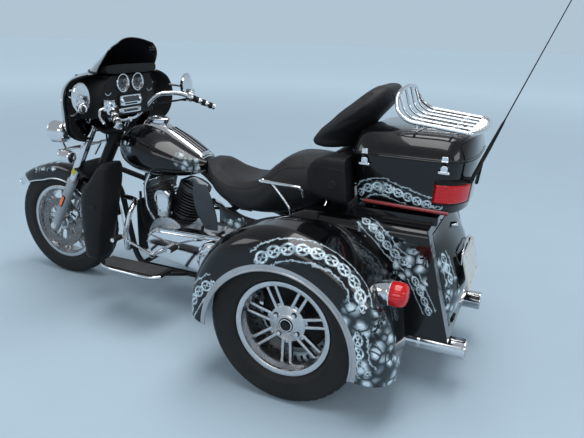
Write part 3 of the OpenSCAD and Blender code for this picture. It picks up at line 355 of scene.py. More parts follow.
def group_grain():
    """Fine pebbled surface: cell edges sunk below a fine noise."""
    g, i, o = new_group("Surface grain", [("Vector", "NodeSocketVector", None),
            ("Scale", "NodeSocketFloat", 900.0)],
                        [("Height", "NodeSocketFloat")])
    cells = wire(g, "ShaderNodeTexVoronoi", i["Vector"], None, i["Scale"], feature="DISTANCE_TO_EDGE")
    noise = wire(g, "ShaderNodeTexNoise", i["Vector"], None, maths(g, "MULTIPLY", i["Scale"], 0.6), 3.0)
    g.links.new(maths(g, "ADD", remap(g, cells, 0.0, 0.22), maths(g, "MULTIPLY", noise, 0.5)), o["Height"])
    return g


def group_wear():
    """Handling marks: a soft large noise with thin dusty streaks in it, from 0 to 1."""
    g, i, o = new_group("Handling marks", [("Vector", "NodeSocketVector", None),
            ("Scale", "NodeSocketFloat", 6.0)],
                        [("Mask", "NodeSocketFloat")])
    large = wire(g, "ShaderNodeTexNoise", i["Vector"], None, i["Scale"], 4.0, 0.6)
    fine = wire(g, "ShaderNodeTexNoise", i["Vector"], None, maths(g, "MULTIPLY", i["Scale"], 11.0), 3.0, 0.6)
    g.links.new(remap(g, maths(g, "ADD", large, maths(g, "MULTIPLY", fine, 0.35)), 0.45, 0.85), o["Mask"])
    return g


def group_airbrush():
    """Airbrushed artwork from three values: zone strength, place along a chain in links, and distance
    across it. Stones are the domes of cells, darkened near their edges; links are rings repeated along
    the chain, every second one seen narrow; a ragged pale mist surrounds both."""
    g, i, o = new_group("Airbrushed art", [("Vector", "NodeSocketVector", None),
            ("Art", "NodeSocketColor", None), ("Band", "NodeSocketFloat", None)],
                        [("Mask", "NodeSocketFloat"), ("Tone", "NodeSocketFloat")])
    part = g.nodes.new("ShaderNodeSeparateColor")
    g.links.new(i["Art"], part.inputs[0])
    zone, along, across = part.outputs
    mist = wire(g, "ShaderNodeTexNoise", i["Vector"], None, 26.0, 5.0, 0.66, None, None, None, 1.4)
    bent = wire(g, "ShaderNodeVectorMath", i["Vector"], wire(g, "ShaderNodeTexNoise", i["Vector"], None, 14.0,
            2.0, out=1), operation="ADD")
    spread = wire(g, "ShaderNodeVectorMath", i["Vector"], wire(g, "ShaderNodeVectorMath", bent,
            (0.045, 0.045, 0.045), operation="MULTIPLY"), operation="ADD")
    dome = wire(g, "ShaderNodeTexVoronoi", spread, None, 23.0, feature="F1")
    crack = wire(g, "ShaderNodeTexVoronoi", spread, None, 23.0, feature="DISTANCE_TO_EDGE")
    pebble = maths(g, "MULTIPLY", remap(g, dome, 0.75, 0.05), remap(g, crack, 0.01, 0.10))
    ragged = maths(g, "ADD", zone, maths(g, "MULTIPLY", maths(g, "SUBTRACT", mist, 0.5), 1.3))
    stones = maths(g, "MULTIPLY", remap(g, ragged, 0.56, 0.64), maths(g, "ADD",
            maths(g, "MULTIPLY", pebble, 1.0), 0.10))
    rings = []
    for shift, wide in ((0.0, 1.25), (0.5, 2.6)):
        f = maths(g, "SUBTRACT", maths(g, "FRACT", maths(g, "ADD", along, shift)), 0.5)
        d = maths(g, "SQRT", maths(g, "ADD", maths(g, "POWER", maths(g, "MULTIPLY", f, 1.75), 2.0),
                                   maths(g, "POWER", maths(g, "MULTIPLY", maths(g, "SUBTRACT", across, 2.0),
                                   wide), 2.0)))
        rings.append(remap(g, maths(g, "ABSOLUTE", maths(g, "SUBTRACT", d, 0.72)), 0.26, 0.08))
    on_band = remap(g, i["Band"], 0.4, 0.6)
    links = maths(g, "MULTIPLY", maths(g, "MAXIMUM", rings[0], rings[1]), on_band)
    edge = maths(g, "ABSOLUTE", maths(g, "SUBTRACT", across, 2.0))
    halo = maths(g, "MULTIPLY", maths(g, "MULTIPLY", remap(g, edge, 1.9, 0.9), remap(g, mist, 0.52, 0.70)),
            on_band)
    wave = maths(g, "ADD", edge, maths(g, "MULTIPLY", maths(g, "SUBTRACT", mist, 0.5), 1.1))
    border = maths(g, "MULTIPLY", remap(g, maths(g, "ABSOLUTE", maths(g, "SUBTRACT", wave, 1.25)), 0.14, 0.05),
            on_band)
    body = maths(g, "MAXIMUM", maths(g, "MULTIPLY", links, remap(g, mist, 0.25, 0.6, 0.45, 1.0)), maths(g,
            "MAXIMUM", maths(g, "MULTIPLY", halo, 0.35), maths(g, "MULTIPLY", border, 0.8)))
    mask = maths(g, "MAXIMUM", stones, body, clamp=True)
    g.links.new(mask, o["Mask"])
    g.links.new(maths(g, "MULTIPLY", mask, remap(g, mist, 0.3, 0.7, 0.55, 1.0)), o["Tone"])
    return g


def finish(name, color, metal=0.0, rough=0.4, spread=0.0, grain=None, coat=0.0, second=None, art=False,
        extra=None,
           scale=6.0, **sockets):
    """Principled finish. spread varies the roughness by the handling marks, second is the colour those
    marks fade to, grain is (scale, depth in metres), art adds the airbrushed artwork."""
    m = bpy.data.materials.new(name)
    m.use_nodes = True
    t = m.node_tree
    shader = t.nodes["Principled BSDF"]
    put = shader.inputs
    put["Base Color"].default_value = (*color, 1)
    put["Metallic"].default_value = metal
    put["Roughness"].default_value = rough
    put["Coat Weight"].default_value = coat
    put["Coat Roughness"].default_value = 0.03
    for key, value in sockets.items():
        put[key.replace("_", " ")].default_value = value
    place = t.nodes.new("ShaderNodeTexCoord").outputs["Object"]
    tone = (*color, 1)
    if spread or second:
        mask = wire(t, "ShaderNodeGroup", place, scale, node_tree=bpy.data.node_groups["Handling marks"])
        if spread:
            t.links.new(remap(t, mask, 0, 1, rough, rough + spread, "LINEAR"), put["Roughness"])
        if second:
            tone = mixed(t, mask, tone, (*second, 1))
    if art:
        attr = wire(t, "ShaderNodeAttribute", attribute_name="art")
        node = t.nodes.new("ShaderNodeGroup")
        node.node_tree = bpy.data.node_groups["Airbrushed art"]
        t.links.new(place, node.inputs[0])
        t.links.new(attr, node.inputs[1])
        t.links.new(attr.node.outputs["Alpha"], node.inputs[2])
        pale = mixed(t, node.outputs["Tone"], (0.07, 0.15, 0.20, 1), (0.80, 0.93, 1.0, 1))
        tone = mixed(t, node.outputs["Mask"], tone, pale)
    if extra:
        tone = extra(t, place, tone, shader) or tone
    if isinstance(tone, bpy.types.NodeSocket):
        t.links.new(tone, put["Base Color"])
    if grain:
        height = wire(t, "ShaderNodeGroup", place, grain[0], node_tree=bpy.data.node_groups["Surface grain"])
        bump = t.nodes.new("ShaderNodeBump")
        bump.inputs["Distance"].default_value = grain[1]
        t.links.new(height, bump.inputs["Height"])
        t.links.new(bump.outputs[0], put["Normal"])
    FINISH[name] = m
    return m


def dial_marks(t, place, tone, shader):
    """White strokes round a dial face: the angle round the face cut into 40 parts, every fourth longer,
    shown between two radii."""
    uv = t.nodes.new("ShaderNodeTexCoord").outputs["UV"]
    part = t.nodes.new("ShaderNodeSeparateXYZ")
    t.links.new(uv, part.inputs[0])
    turn, out = part.outputs[0], part.outputs[1]
    stroke = maths(t, "ABSOLUTE", maths(t, "SUBTRACT", maths(t, "FRACT", maths(t, "MULTIPLY", turn, 40.0)),
            0.5))
    major = maths(t, "ABSOLUTE", maths(t, "SUBTRACT", maths(t, "FRACT", maths(t, "MULTIPLY", turn, 10.0)), 0.5))
    fine = maths(t, "MULTIPLY", maths(t, "GREATER_THAN", stroke, 0.34), maths(t, "GREATER_THAN", out, 0.80))
    bold = maths(t, "MULTIPLY", maths(t, "GREATER_THAN", major, 0.42), maths(t, "GREATER_THAN", out, 0.68))
    marks = maths(t, "MULTIPLY", maths(t, "MAXIMUM", fine, bold), maths(t, "LESS_THAN", out, 0.92))
    return mixed(t, marks, tone, (0.75, 0.76, 0.74, 1))


def ribs(axis, pitch, depth, width=0.5):
    """Returns an extra that raises straight ribs: a smooth wave along one axis of the object."""
    def extra(t, place, tone, shader):
        part = t.nodes.new("ShaderNodeSeparateXYZ")
        t.links.new(place, part.inputs[0])
        wave = maths(t, "SINE", maths(t, "MULTIPLY", part.outputs[axis], TAU / pitch))
        bump = wire(t, "ShaderNodeBump")
        node = bump.node
        node.inputs["Distance"].default_value = depth
        t.links.new(remap(t, wave, -width, width), node.inputs["Height"])
        t.links.new(bump, shader.inputs["Normal"])
    return extra


def build_finishes(options):
    """Makes the shared groups and every finish once."""
    group_grain()
    group_wear()
    group_airbrush()
    paint = tuple(options.paint_color)
    finish("gloss black paint", paint, rough=0.2, spread=0.06, coat=1.0,
            second=tuple(c * 1.6 + 0.001 for c in paint), Specular_IOR_Level=0.15, Coat_IOR=1.4)
    finish("airbrushed paint", paint, rough=0.2, coat=1.0, art=True, Specular_IOR_Level=0.15, Coat_IOR=1.4)
    finish("chrome", (0.80, 0.81, 0.83), 1.0, 0.05, 0.09)
    finish("polished alloy", (0.66, 0.67, 0.68), 1.0, 0.20, 0.16, second=(0.56, 0.57, 0.59), scale=22.0)
    finish("satin silver", tuple(options.silver_color), 0.55, 0.34, 0.12, coat=0.35, second=(0.36, 0.37, 0.39))
    finish("satin black metal", (0.005, 0.005, 0.0055), 0.0, 0.34, 0.18, grain=(1400.0, 0.00004), second=(0.010,
            0.010, 0.0105), Specular_IOR_Level=0.3)
    finish("dark fins", (0.045, 0.046, 0.048), 0.7, 0.34, 0.2, second=(0.10, 0.10, 0.10), grain=(900.0,
            0.00005))
    finish("bright fins", (0.55, 0.56, 0.57), 1.0, 0.22, 0.2)
    finish("brake steel", (0.27, 0.26, 0.255), 1.0, 0.30, 0.2, second=(0.20, 0.19, 0.185), scale=30.0)
    finish("rubber rib", (0.045, 0.047, 0.05), rough=0.45, spread=0.1, grain=(900.0, 0.0001), second=(0.07,
            0.072, 0.075))
    finish("stitched leather", tuple(options.leather_color), rough=0.36, spread=0.14, grain=(520.0, 0.00022),
           second=(0.013, 0.013, 0.0145), Specular_IOR_Level=0.36)
    finish("seam thread", (0.010, 0.010, 0.011), rough=0.6, spread=0.1, grain=(2200.0, 0.0001))
    finish("moulded black", (0.0055, 0.0055, 0.006), rough=0.40, spread=0.16, grain=(1300.0, 0.00010),
            second=(0.010, 0.010, 0.011), Specular_IOR_Level=0.24)
    finish("grey shield", (0.022, 0.026, 0.032), rough=0.30, spread=0.12, grain=(1500.0, 0.00005),
            second=(0.040, 0.045, 0.052))
    finish("tyre rubber", (0.0075, 0.0075, 0.008), rough=0.58, spread=0.18, grain=(700.0, 0.00012),
            second=(0.018, 0.0175, 0.017), Specular_IOR_Level=0.32)
    finish("soft rubber", (0.009, 0.009, 0.009), rough=0.6, spread=0.14, grain=(900.0, 0.0001), second=(0.018,
            0.018, 0.0175), Specular_IOR_Level=0.3)
    finish("red lens", (0.50, 0.001, 0.004), rough=0.12, spread=0.05, coat=0.8, extra=ribs(2, 0.011, 0.0012),
            Specular_IOR_Level=0.3, Coat_IOR=1.4,
           Emission_Color=(0.7, 0.0, 0.005, 1), Emission_Strength=0.10)
    finish("amber lens", (0.85, 0.17, 0.01), rough=0.12, spread=0.05, coat=1.0, extra=ribs(2, 0.008, 0.0008),
           Emission_Color=(0.9, 0.2, 0.02, 1), Emission_Strength=0.05)
    finish("clear lens", (0.75, 0.78, 0.80), rough=0.05, spread=0.04, coat=1.0, Transmission_Weight=0.5)
    finish("red reflector", (0.26, 0.002, 0.006), rough=0.22, spread=0.08, coat=0.8, extra=ribs(0, 0.006,
            0.0003))
    finish("blank plate", (0.74, 0.75, 0.73), rough=0.36, spread=0.14, coat=0.3, second=(0.64, 0.65, 0.62))
    finish("blank yellow label", (0.62, 0.55, 0.03), rough=0.4, spread=0.1, second=(0.5, 0.43, 0.02))
    finish("smoked screen", (0.008, 0.008, 0.010), rough=0.05, spread=0.05, coat=1.0, Transmission_Weight=0.12,
            second=(0.014, 0.014, 0.016))
    finish("mirror glass", (0.86, 0.88, 0.90), 1.0, 0.015, 0.02)
    finish("dial face", (0.010, 0.010, 0.011), rough=0.3, spread=0.1, coat=0.9, extra=dial_marks)
    # near-black finish put where gaps and holes are not modelled: painted shade
    finish("painted gap shade", (0.004, 0.004, 0.004), rough=0.8, spread=0.1)
    finish("speaker mesh", (0.012, 0.012, 0.012), 0.3, 0.5, 0.1, grain=(420.0, 0.0006))


# ---------------------------------------------------------------- airbrushed artwork on a surface
def artwork(p, chains=(), blobs=()):
    """Art values on a point grid. A chain is (path, half width, link pitch): the nearest point of its
    path gives the place along in links, and the signed distance to the side over the half width gives
    the place across, plus 2, and the fourth value is 1 on the band. A blob is (centre, radius) and its
    strength falls off from the centre."""
    q, normal = p.reshape(-1, 3), grid_normals(p).reshape(-1, 3)
    art = np.zeros((len(q), 4))
    best = np.full(len(q), 1e9)
    for path, half, pitch in chains:
        path = np.asarray(path, float)
        s = np.diff(path, axis=0)
        length = np.linalg.norm(s, axis=1)
        rel = q[:, None] - path[None, :-1]
        raw = (rel * s).sum(-1) / length**2
        k = np.clip(raw, 0, 1)
        away = rel - k[..., None] * s
        dist = np.linalg.norm(away, axis=-1)
        i = dist.argmin(1)
        row = np.arange(len(q))
        side = np.cross(s[i], normal)
        half = half * 1.45
        across = np.clip(dist[row, i] / half, 0, 3.0) * np.where((away[row, i] * side).sum(-1) < 0, -1, 1)
        on = np.clip(1.5 - 0.5 * (dist[row, i] / half - 1), 0, 1) * (dist[row, i] < 2.4 * half)
        past = ((i == 0) & (raw[:, 0] < 0)) | ((i == len(s) - 1) & (raw[:, -1] > 1))
        on = np.where(past & (dist[row, i] > 0.4 * half), 0, on)
        along = (np.concatenate([[0], np.cumsum(length)])[i] + k[row, i] * length[i]) / pitch
        near = dist[row, i] < best
        best = np.where(near, dist[row, i], best)
        art[:, 1] = np.where(near, along, art[:, 1])
        art[:, 2] = np.where(near, 2 + across, art[:, 2])
        art[:, 3] = np.where(near, on, art[:, 3])
    for centre, radius in blobs:
        d = np.linalg.norm(q - np.asarray(centre, float), axis=1) / radius
        art[:, 0] = np.maximum(art[:, 0], np.clip(1.15 - 0.72 * d, 0, 1))
    return art.reshape(*p.shape[:2], 4)


def fine(points, n=10):
    """Smooth path through the points: each coordinate is a smooth curve of the point's number."""
    p = np.asarray(points, float)
    k = np.arange(len(p))
    s = span(0, len(p) - 1, n * (len(p) - 1))
    return np.stack([curve(np.column_stack([k, p[:, c]]), s) for c in range(p.shape[1])], -1)


# ---------------------------------------------------------------- rear body
REAR_LEAN = math.radians(15.5)


def rear_x(z):
    """Place along X of the rear face at height z: a straight line leaning forward."""
    return -594 + (z - 262) * math.tan(REAR_LEAN)


def on_door(p):
    """Points given as depth, left and up the leaning rear face, in the vehicle's axes."""
    p = np.asarray(p, float)
    s, c = math.sin(REAR_LEAN), math.cos(REAR_LEAN)
    return stack(-594 + p[..., 0] * c + p[..., 2] * s, p[..., 1], 262 - p[..., 0] * s + p[..., 2] * c)


def rear_fender_surface(a, t):
    """Arched fender: angle a in degrees about the arch's middle, t from the body to the lip. The width
    eases to full at t 0.74, the radius eases from the crown down to the lip, and its middle moves with it."""
    w = t * 1.35
    w = 0.5 * (w + 1 - np.sqrt((w - 1) ** 2 + 0.03))
    w = (w + 0.0074) / 0.9763
    y = 338.4 + 356.2 * np.clip(w, 0, 1)
    f = np.clip((t - 0.55) / 0.45, 0, 1)
    u = 1 - f**1.6
    full = 430 + 30 * np.sin(2 * np.radians(a))
    crest = full - (full - 392) * (1 - np.clip(t / 0.38, 0, 1)) ** 2
    r = 313 + (crest - 313) * u
    return stack(10 - 30 * u + r * np.cos(np.radians(a)), y, 275 + 25 * u + r * np.sin(np.radians(a)))


def make_rear_fenders(options):
    """Fender skins with chains and stones painted on, a rolled lip and a silver band beside it."""
    t = np.concatenate([span(0, 0.5, 16), span(0.5, 1, 42)[1:]])[:, None]
    a = span(192, 3, 150)[None]
    p = rear_fender_surface(a, t)
    k = options.link_pitch * 1000

    def route(*at):
        f = fine(at, 8)
        return rear_fender_surface(f[:, 0], f[:, 1])
    chains = [(route((76, 0.93), (90, 0.80), (106, 0.69), (122, 0.64), (136, 0.66), (146, 0.75)), 24, k),
              (route((158, 0.90), (168, 0.93), (178, 0.92), (184, 0.86)), 20, k * 0.9),
              (route((4, 0.70), (12, 0.78), (24, 0.86), (37, 0.95)), 22, k * 0.9)]
    at = [(149, 0.80, 95), (166, 0.62, 70), (176, 0.80, 95), (184, 0.70, 95), (188, 0.88, 80), (186, 0.55, 60),
            (172, 0.97, 55)]
    blobs = [(rear_fender_surface(np.float64(x), np.float64(y)), r) for x, y, r in at]
    s = Shape()
    s.sheet(p, 5, art=artwork(p, chains, blobs))
    lip = rear_fender_surface(span(191.6, 3.4, 120), np.float64(1.0))
    s.tube(lip + (0, 0.5, 0), 5, 1, 12)
    band = rear_fender_surface(span(191.6, 3.4, 120)[None], np.array([0.955, 0.97, 0.985, 1.0])[:, None])
    s.sheet(band + grid_normals(band) * 1.2, 1.6, 1)
    s.both().done("rear_fender_shells", "chassis", "gloss_black", ("airbrushed paint", "satin silver"),
            ("rear_fenders",))


BODY_TOP = [[-620, 715], [40, 715], [66, 712], [104, 696], [160, 652], [200, 617], [260, 567], [320, 487], [350,
        411], [368, 300]]


def make_rear_body(options):
    """Side, shoulder and top skins, floor and walls. The side runs up to a quarter round and in along
    the top; its top height follows the outline from rear to front."""
    x = np.concatenate([span(368, 62, 30), span(62, -470, 60)[1:]])
    top = np.interp(x, *np.transpose(BODY_TOP))
    r = np.clip(44 - np.maximum(0, x - 60) * 0.30, 5, 44)
    inner = np.where(x < 50, 216, np.minimum(216 + (x - 50) * 1.3, 337.5 - r * 0.98))
    rows = []
    for k in span(0, 1, 26):
        rows.append((338 + 0 * x, 262 + (top - r - 262) * k))
    for q in np.radians(span(0, 90, 10)[1:]):
        rows.append((338 - r + r * np.cos(q), top - r + r * np.sin(q)))
    for k in span(0, 1, 8)[1:]:
        rows.append((338 - r + (inner - 338 + r) * k, top + 0 * x))
    y, z = np.array([q[0] for q in rows]), np.array([q[1] for q in rows])
    f = np.clip((x - 62) / -532, 0, 1)
    xx = np.where(x[None] > 62, x[None], 62 + (rear_x(z) - 62) * f[None])
    p = stack(xx, y, z)
    k = options.link_pitch * 1000
    chain = fine([(-200, 300, 715), (-236, 330, 704), (-285, 338, 660), (-345, 338, 605), (-410, 338, 560)], 8)
    chain2 = fine([(-430, 338, 520), (-470, 338, 450), (-510, 338, 375)], 6)
    blobs = [((-412, 338, 560), 90), ((-385, 338, 610), 60), ((-230, 330, 705), 60), ((-300, 338, 655), 42),
            ((-445, 338, 500), 60)]
    s = Shape()
    s.sheet(p, 4.6, art=artwork(p, [(chain, 17, k * 0.8), (chain2, 14, k * 0.8)], blobs))
    s.both()
    q = stack(span(-10.2, rear_x(715) + 0.5, 20)[None], span(216.3, -216.3, 30)[:, None], 715.0)
    s.sheet(q, 5)
    m = Shape()
    for lo, hi in (((-320, -333, 555.3), (-10, 333, 560.3)), ((-320, -333, 262), (-315, 333, 556)),
            ((-15, -333, 555.3), (-10, 333, 711)),
                   ((-592, -333, 262), (-316, 333, 267)), ((-490, -262, 714), (-140, 262, 750))):
        lo, hi = np.array(lo, float), np.array(hi, float)
        m.block((lo + hi) / 2, (hi - lo) / 2, 0 if lo[2] > 700 else 2, 40.0)
    c = math.cos(REAR_LEAN)
    for lo, hi in (((0.5, -336, 0), (5, 336, 40)), ((0.5, -336, 440), (5, 336, 453 / c - 1)), ((0.5, -336, 36),
            (5, -270, 444)), ((0.5, 270, 36), (5, 336, 444))):
        lo, hi = np.array(lo, float), np.array(hi, float)
        b = Shape().block((lo + hi) / 2, (hi - lo) / 2, 0, 40.0)
        m.add(on_door(b.points[0]), b.faces[:-2], 0, np.concatenate(b.uvs[:1]))
        n = b.count
        for face in b.faces[-2:]:
            m.faces.append([i + m.count - n for i in face])
            m.slots.append(0)
            m.uvs.append(np.full((len(face), 2), 0.5))
    for y in (-180, 180):
        m.tube([on_door((-6, y - 26, 43)), on_door((-6, y + 26, 43))], 2.5, 1)
        for e in (-24, 24):
            m.tube([on_door((-6, y + e - 4, 43)), on_door((-6, y + e + 4, 43))], 5, 1)
            m.block(on_door((-1.5, y + e, 37)), (4.4, 4, 6), 1, 20.0)
    m.done("rear_body_walls", "chassis", "gloss_black", ("gloss black paint", "satin black metal",
            "moulded black"))
    s.done("rear_body_skin", "chassis", "gloss_black", ("airbrushed paint",), ("rear_body",))


def door_bulge(u, v):
    """Pillow shape 66 mm deep: one less the 2.6th power of each direction, multiplied."""
    return 66 * (1 - np.abs(u) ** 2.6) * (1 - np.abs(v) ** 2.6)


def make_cargo_door(options):
    """Door: a leaning rectangle bulged by door_bulge, with its handle, hinge barrels and blank plate."""
    u, v = span(1, -1, 72)[None], span(-1, 1, 60)[:, None]
    p = on_door(stack(-door_bulge(u, v), 264 * u, 240 + 194 * v))
    q = on_door(stack(4.6 - door_bulge(u, v), 264 * u, 240 + 194 * v))
    blobs = [(on_door((-20, 205, 95)), 90), (on_door((-30, 215, 190)), 65), (on_door((-34, 130, 70)), 70),
            (on_door((-14, 232, 300)), 55)]
    chain = on_door(fine([(-14, 232, 340), (-26, 222, 270), (-30, 214, 210)], 6))
    s = Shape()
    s.sheet(p, 5, inner=q, art=artwork(p, [(chain, 16, options.link_pitch * 800)], blobs))
    basis = np.array([on_door((1, 0, 0)) - on_door((0, 0, 0)), (0, 1, 0),
            on_door((0, 0, 1)) - on_door((0, 0, 0))])
    s.block(on_door((-67, 0, 216)), (5.5, 60, 40), 1, 9.0, basis=basis)
    s.tube(rounded_path([on_door(c) for c in ((-60, 118, 250), (-74, 118, 306), (-74, 60, 318), (-74, -60, 318),
            (-74, -118, 306), (-60, -118, 250))], 22), 6, 1)
    for y in (-180, 180):
        s.tube([on_door((-6, y - 19.5, 43)), on_door((-6, y + 19.5, 43))], 5, 2)
        s.block(on_door((-2, y, 45.5)), (4, 19.5, 2.5), 2, 20.0, basis=basis)
    s.tube([on_door((c, 0, 396)) for c in (-20, -46, -50)], [13, 13, 10], 1, 24)
    s.done("cargo_door_panel", "cargo_door", "gloss_black", ("airbrushed paint", "chrome", "satin black metal"),
            ("cargo_door",))
    s = Shape()
    s.block(on_door((-76.5, 0, 216)), (3.6, 149, 77), 0, 30.0, basis=basis)
    rim = [(-80.6, 144, 143), (-80.6, -144, 143), (-80.6, -144, 289), (-80.6, 144, 289), (-80.6, 144, 143)]
    s.tube([on_door(c) for c in rim], 1.2, 0, 8)
    for y in (-90, 90):
        for z in (160, 272):
            s.turned([(6.5, 0), (6.5, 1.5), (4.5, 3.2), (0.5, 3.6)], on_door((-80.4, y, z)),
                    on_door((-1, 0, 0)) - on_door((0, 0, 0)), 1, 12)
    s.done("blank_number_plate", "cargo_door", "plate_white", ("blank plate", "chrome"), ("number_plate",))


def make_rear_lamps(options):
    """Bullet lamps on the fenders: a chrome housing turned along X with a domed ribbed red lens."""
    s = Shape()
    at = (-338, 548, 529)
    s.turned([(20, -25), (36, -6), (46, 14), (51, 38), (52, 46), (52, 54), (50, 56)], at, (-1, 0, 0), 1, 48,
            squeeze=0.9)
    s.turned([(49, 52), (51, 58), (51, 92), (48, 106), (40, 116), (24, 121), (1, 122)], at, (-1, 0, 0), 0, 48,
            squeeze=0.9)
    s.turned([(52.5, 48), (53.6, 51), (53.6, 57), (51, 59)], at, (-1, 0, 0), 1, 48, (False, False), squeeze=0.9)
    s.both().done("rear_fender_lamps", "chassis", "red_lens", ("red lens", "chrome"), ("rear_lamps",))


# ---------------------------------------------------------------- trunk
def trunk_ring(x_half, y_half, z, n=120):
    """Superellipse of power 7 in plan about the trunk's middle, its rear edge bowed back by 46 mm."""
    a = (np.arange(n) + 0.5) * TAU / n
    x, y = x_half * spow(np.cos(a), 2 / 7), y_half * spow(np.sin(a), 2 / 7)
    x = x - 46 * np.clip(-x / x_half, 0, 1) ** 4 * (1 - np.clip(np.abs(y) / y_half, 0, 1) ** 2)
    return stack(x - 334, y, z)


def trunk_level(z, g=0.0):
    """Trunk ring at height z: both half sizes shrink in a straight line toward the floor, less g."""
    t = (z - 764) / 214
    return trunk_ring(221 - 22 * (1 - t) - g, 295 - 33 * (1 - t) - g, z)


LID = [[978.4, 0, 0], [986, 1, 2], [1010, 4, 14], [1034, 9, 31], [1048, 14, 44], [1058, 22, 56], [1065, 40, 71],
        [1070, 68, 94],
       [1073, 106, 132], [1075, 152, 194], [1075.6, 197, 256]]


def make_trunk(options):
    """Trunk and lid, each a stack of trunk rings outside and inside, with hinge barrels and side strips."""
    s = Shape()
    rows = [trunk_level(764, 10)] + [trunk_level(z) for z in (768, 790, 820, 850, 880, 920, 950, 970, 977.6)]
    rows += [trunk_level(977.6, 5)] + [trunk_level(z, 5) for z in (950, 880, 800, 769)]
    p = np.array(rows)
    k = options.link_pitch * 1000
    chain = fine([(-150, 268, 800), (-190, 273, 832), (-240, 276, 850), (-300, 276, 846), (-360, 273, 824),
            (-420, 270, 804), (-500, 268, 793)], 8)
    s.grid(p, 0, (False, True), art=artwork(p, [(chain, 19, k * 0.75)], [((-240, 276, 842), 46),
            ((-330, 274, 830), 40), ((-440, 270, 800), 30)]))
    s.loop_caps(p)
    for x in (-484, -184):
        for y in (-180, 180):
            s.turned([(16, 0), (16, 14.5)], (x, y, 750.4), (0, 0, 1), 1, 20)
    for x in (-454, -214):
        s.tube([(x - 28, -303, 979), (x + 28, -303, 979)], 3, 1, 12)
        for e in (-24, 24):
            s.tube([(x + e - 4, -303, 979), (x + e + 4, -303, 979)], 6, 1)
            s.block((x + e, -298, 971), (4, 7, 6), 1, 20.0)
    seam = trunk_level(976.5, -0.8)
    s.tube(seam, 2.0, 1, 8, closed=True)
    s.done("trunk_lower_half", "chassis", "gloss_black", ("airbrushed paint", "satin black metal"),
            ("trunk_box",))
    s = Shape()
    rows = [trunk_ring(222 - b - 5, 296 - c - 5, z - 5 * (z > 1030)) for z, b, c in LID[::-1]]
    rows += [trunk_ring(222 - b, 296 - c, z) for z, b, c in LID]
    s.loft(np.array(rows))
    bead = trunk_ring(222.6, 296.6, 985)
    s.tube(bead, 2.6, 0, 10, closed=True)
    for x in (-454, -214):
        s.tube([(x - 19.5, -303, 979), (x + 19.5, -303, 979)], 6, 1)
        s.block((x, -299, 982.4), (19.5, 4.4, 3), 1, 20.0)
    s.done("trunk_lid_shell", "lid", "gloss_black", ("gloss black paint", "satin black metal"), ("trunk_lid",))
    s = Shape()
    strip = fine([(-190, 279, 786), (-340, 283, 783), (-528, 280, 779)], 12)
    s.tube(strip, 7.5, 0, 12, flat=0.8)
    s.tube(strip + (0, -3, 0), 9.5, 1, 12, flat=0.8)
    s.both().done("trunk_reflector_strips", "chassis", "red_lens", ("red reflector", "moulded black"))


def make_trunk_lamps(options):
    """Wrap-around lamps: the trunk's own ring moved out, kept behind x -450 and cut into a frame and a lens."""
    s = Shape()
    a = np.radians(np.concatenate([span(100, 121, 26), span(121, 172, 26)[1:]]))

    def wall(z, g):
        t = (z - 764) / 214
        hx, hy = 221 - 22 * (1 - t) + g, 295 - 33 * (1 - t) + g * 0.45
        x, y = hx * spow(np.cos(a), 2 / 7), hy * spow(np.sin(a), 2 / 7)
        x = x - 46 * np.clip(-x / hx, 0, 1) ** 4 * (1 - np.clip(np.abs(y) / hy, 0, 1) ** 2)
        return stack(x - 334, y, z)
    keep = wall(850.0, 20)[:, 0] < -448
    for mat, z0, z1, g0, g1 in ((1, 800, 908, 1, 16), (0, 812, 890, 14, 21)):
        zs = span(z0, z1, 14)
        edge = np.clip(np.minimum(zs - z0, z1 - zs) / 7, 0, 1) ** 0.5
        out = np.array([wall(z, g0 + (g1 - g0) * e) for z, e in zip(zs, edge)])[:, keep]
        inn = np.array([wall(z, 0.6) for z in zs])[:, keep]
        cut = slice(None, -3) if mat == 0 else slice(None)
        s.sheet(out[:, cut], 1, mat, inner=inn[:, cut])
    s.both().done("trunk_tail_lamps", "chassis", "red_lens", ("red lens", "moulded black"), ("trunk_lamps",))


def make_latches(options):
    """Rounded blocks: the catches on the trunk and their keepers on the lid."""
    s, lid = Shape(), Shape()
    for x in (-186, -497):
        s.block((x, 298, 950), (13, 4, 14), 0, 8.0)
        s.block((x, 300.5, 941), (22, 5, 5), 0, 8.0)
        s.block((x, 302, 958), (9, 3, 10), 0, 8.0)
        lid.block((x, 301, 992), (12, 4.4, 11), 0, 8.0)
        lid.tube([(x - 12, 303, 984), (x + 12, 303, 984)], 3.4, 0, 12)
    s.done("trunk_catches", "chassis", "chrome", ("chrome",), ("trunk_latches",))
    lid.done("trunk_keepers", "lid", "chrome", ("chrome",))


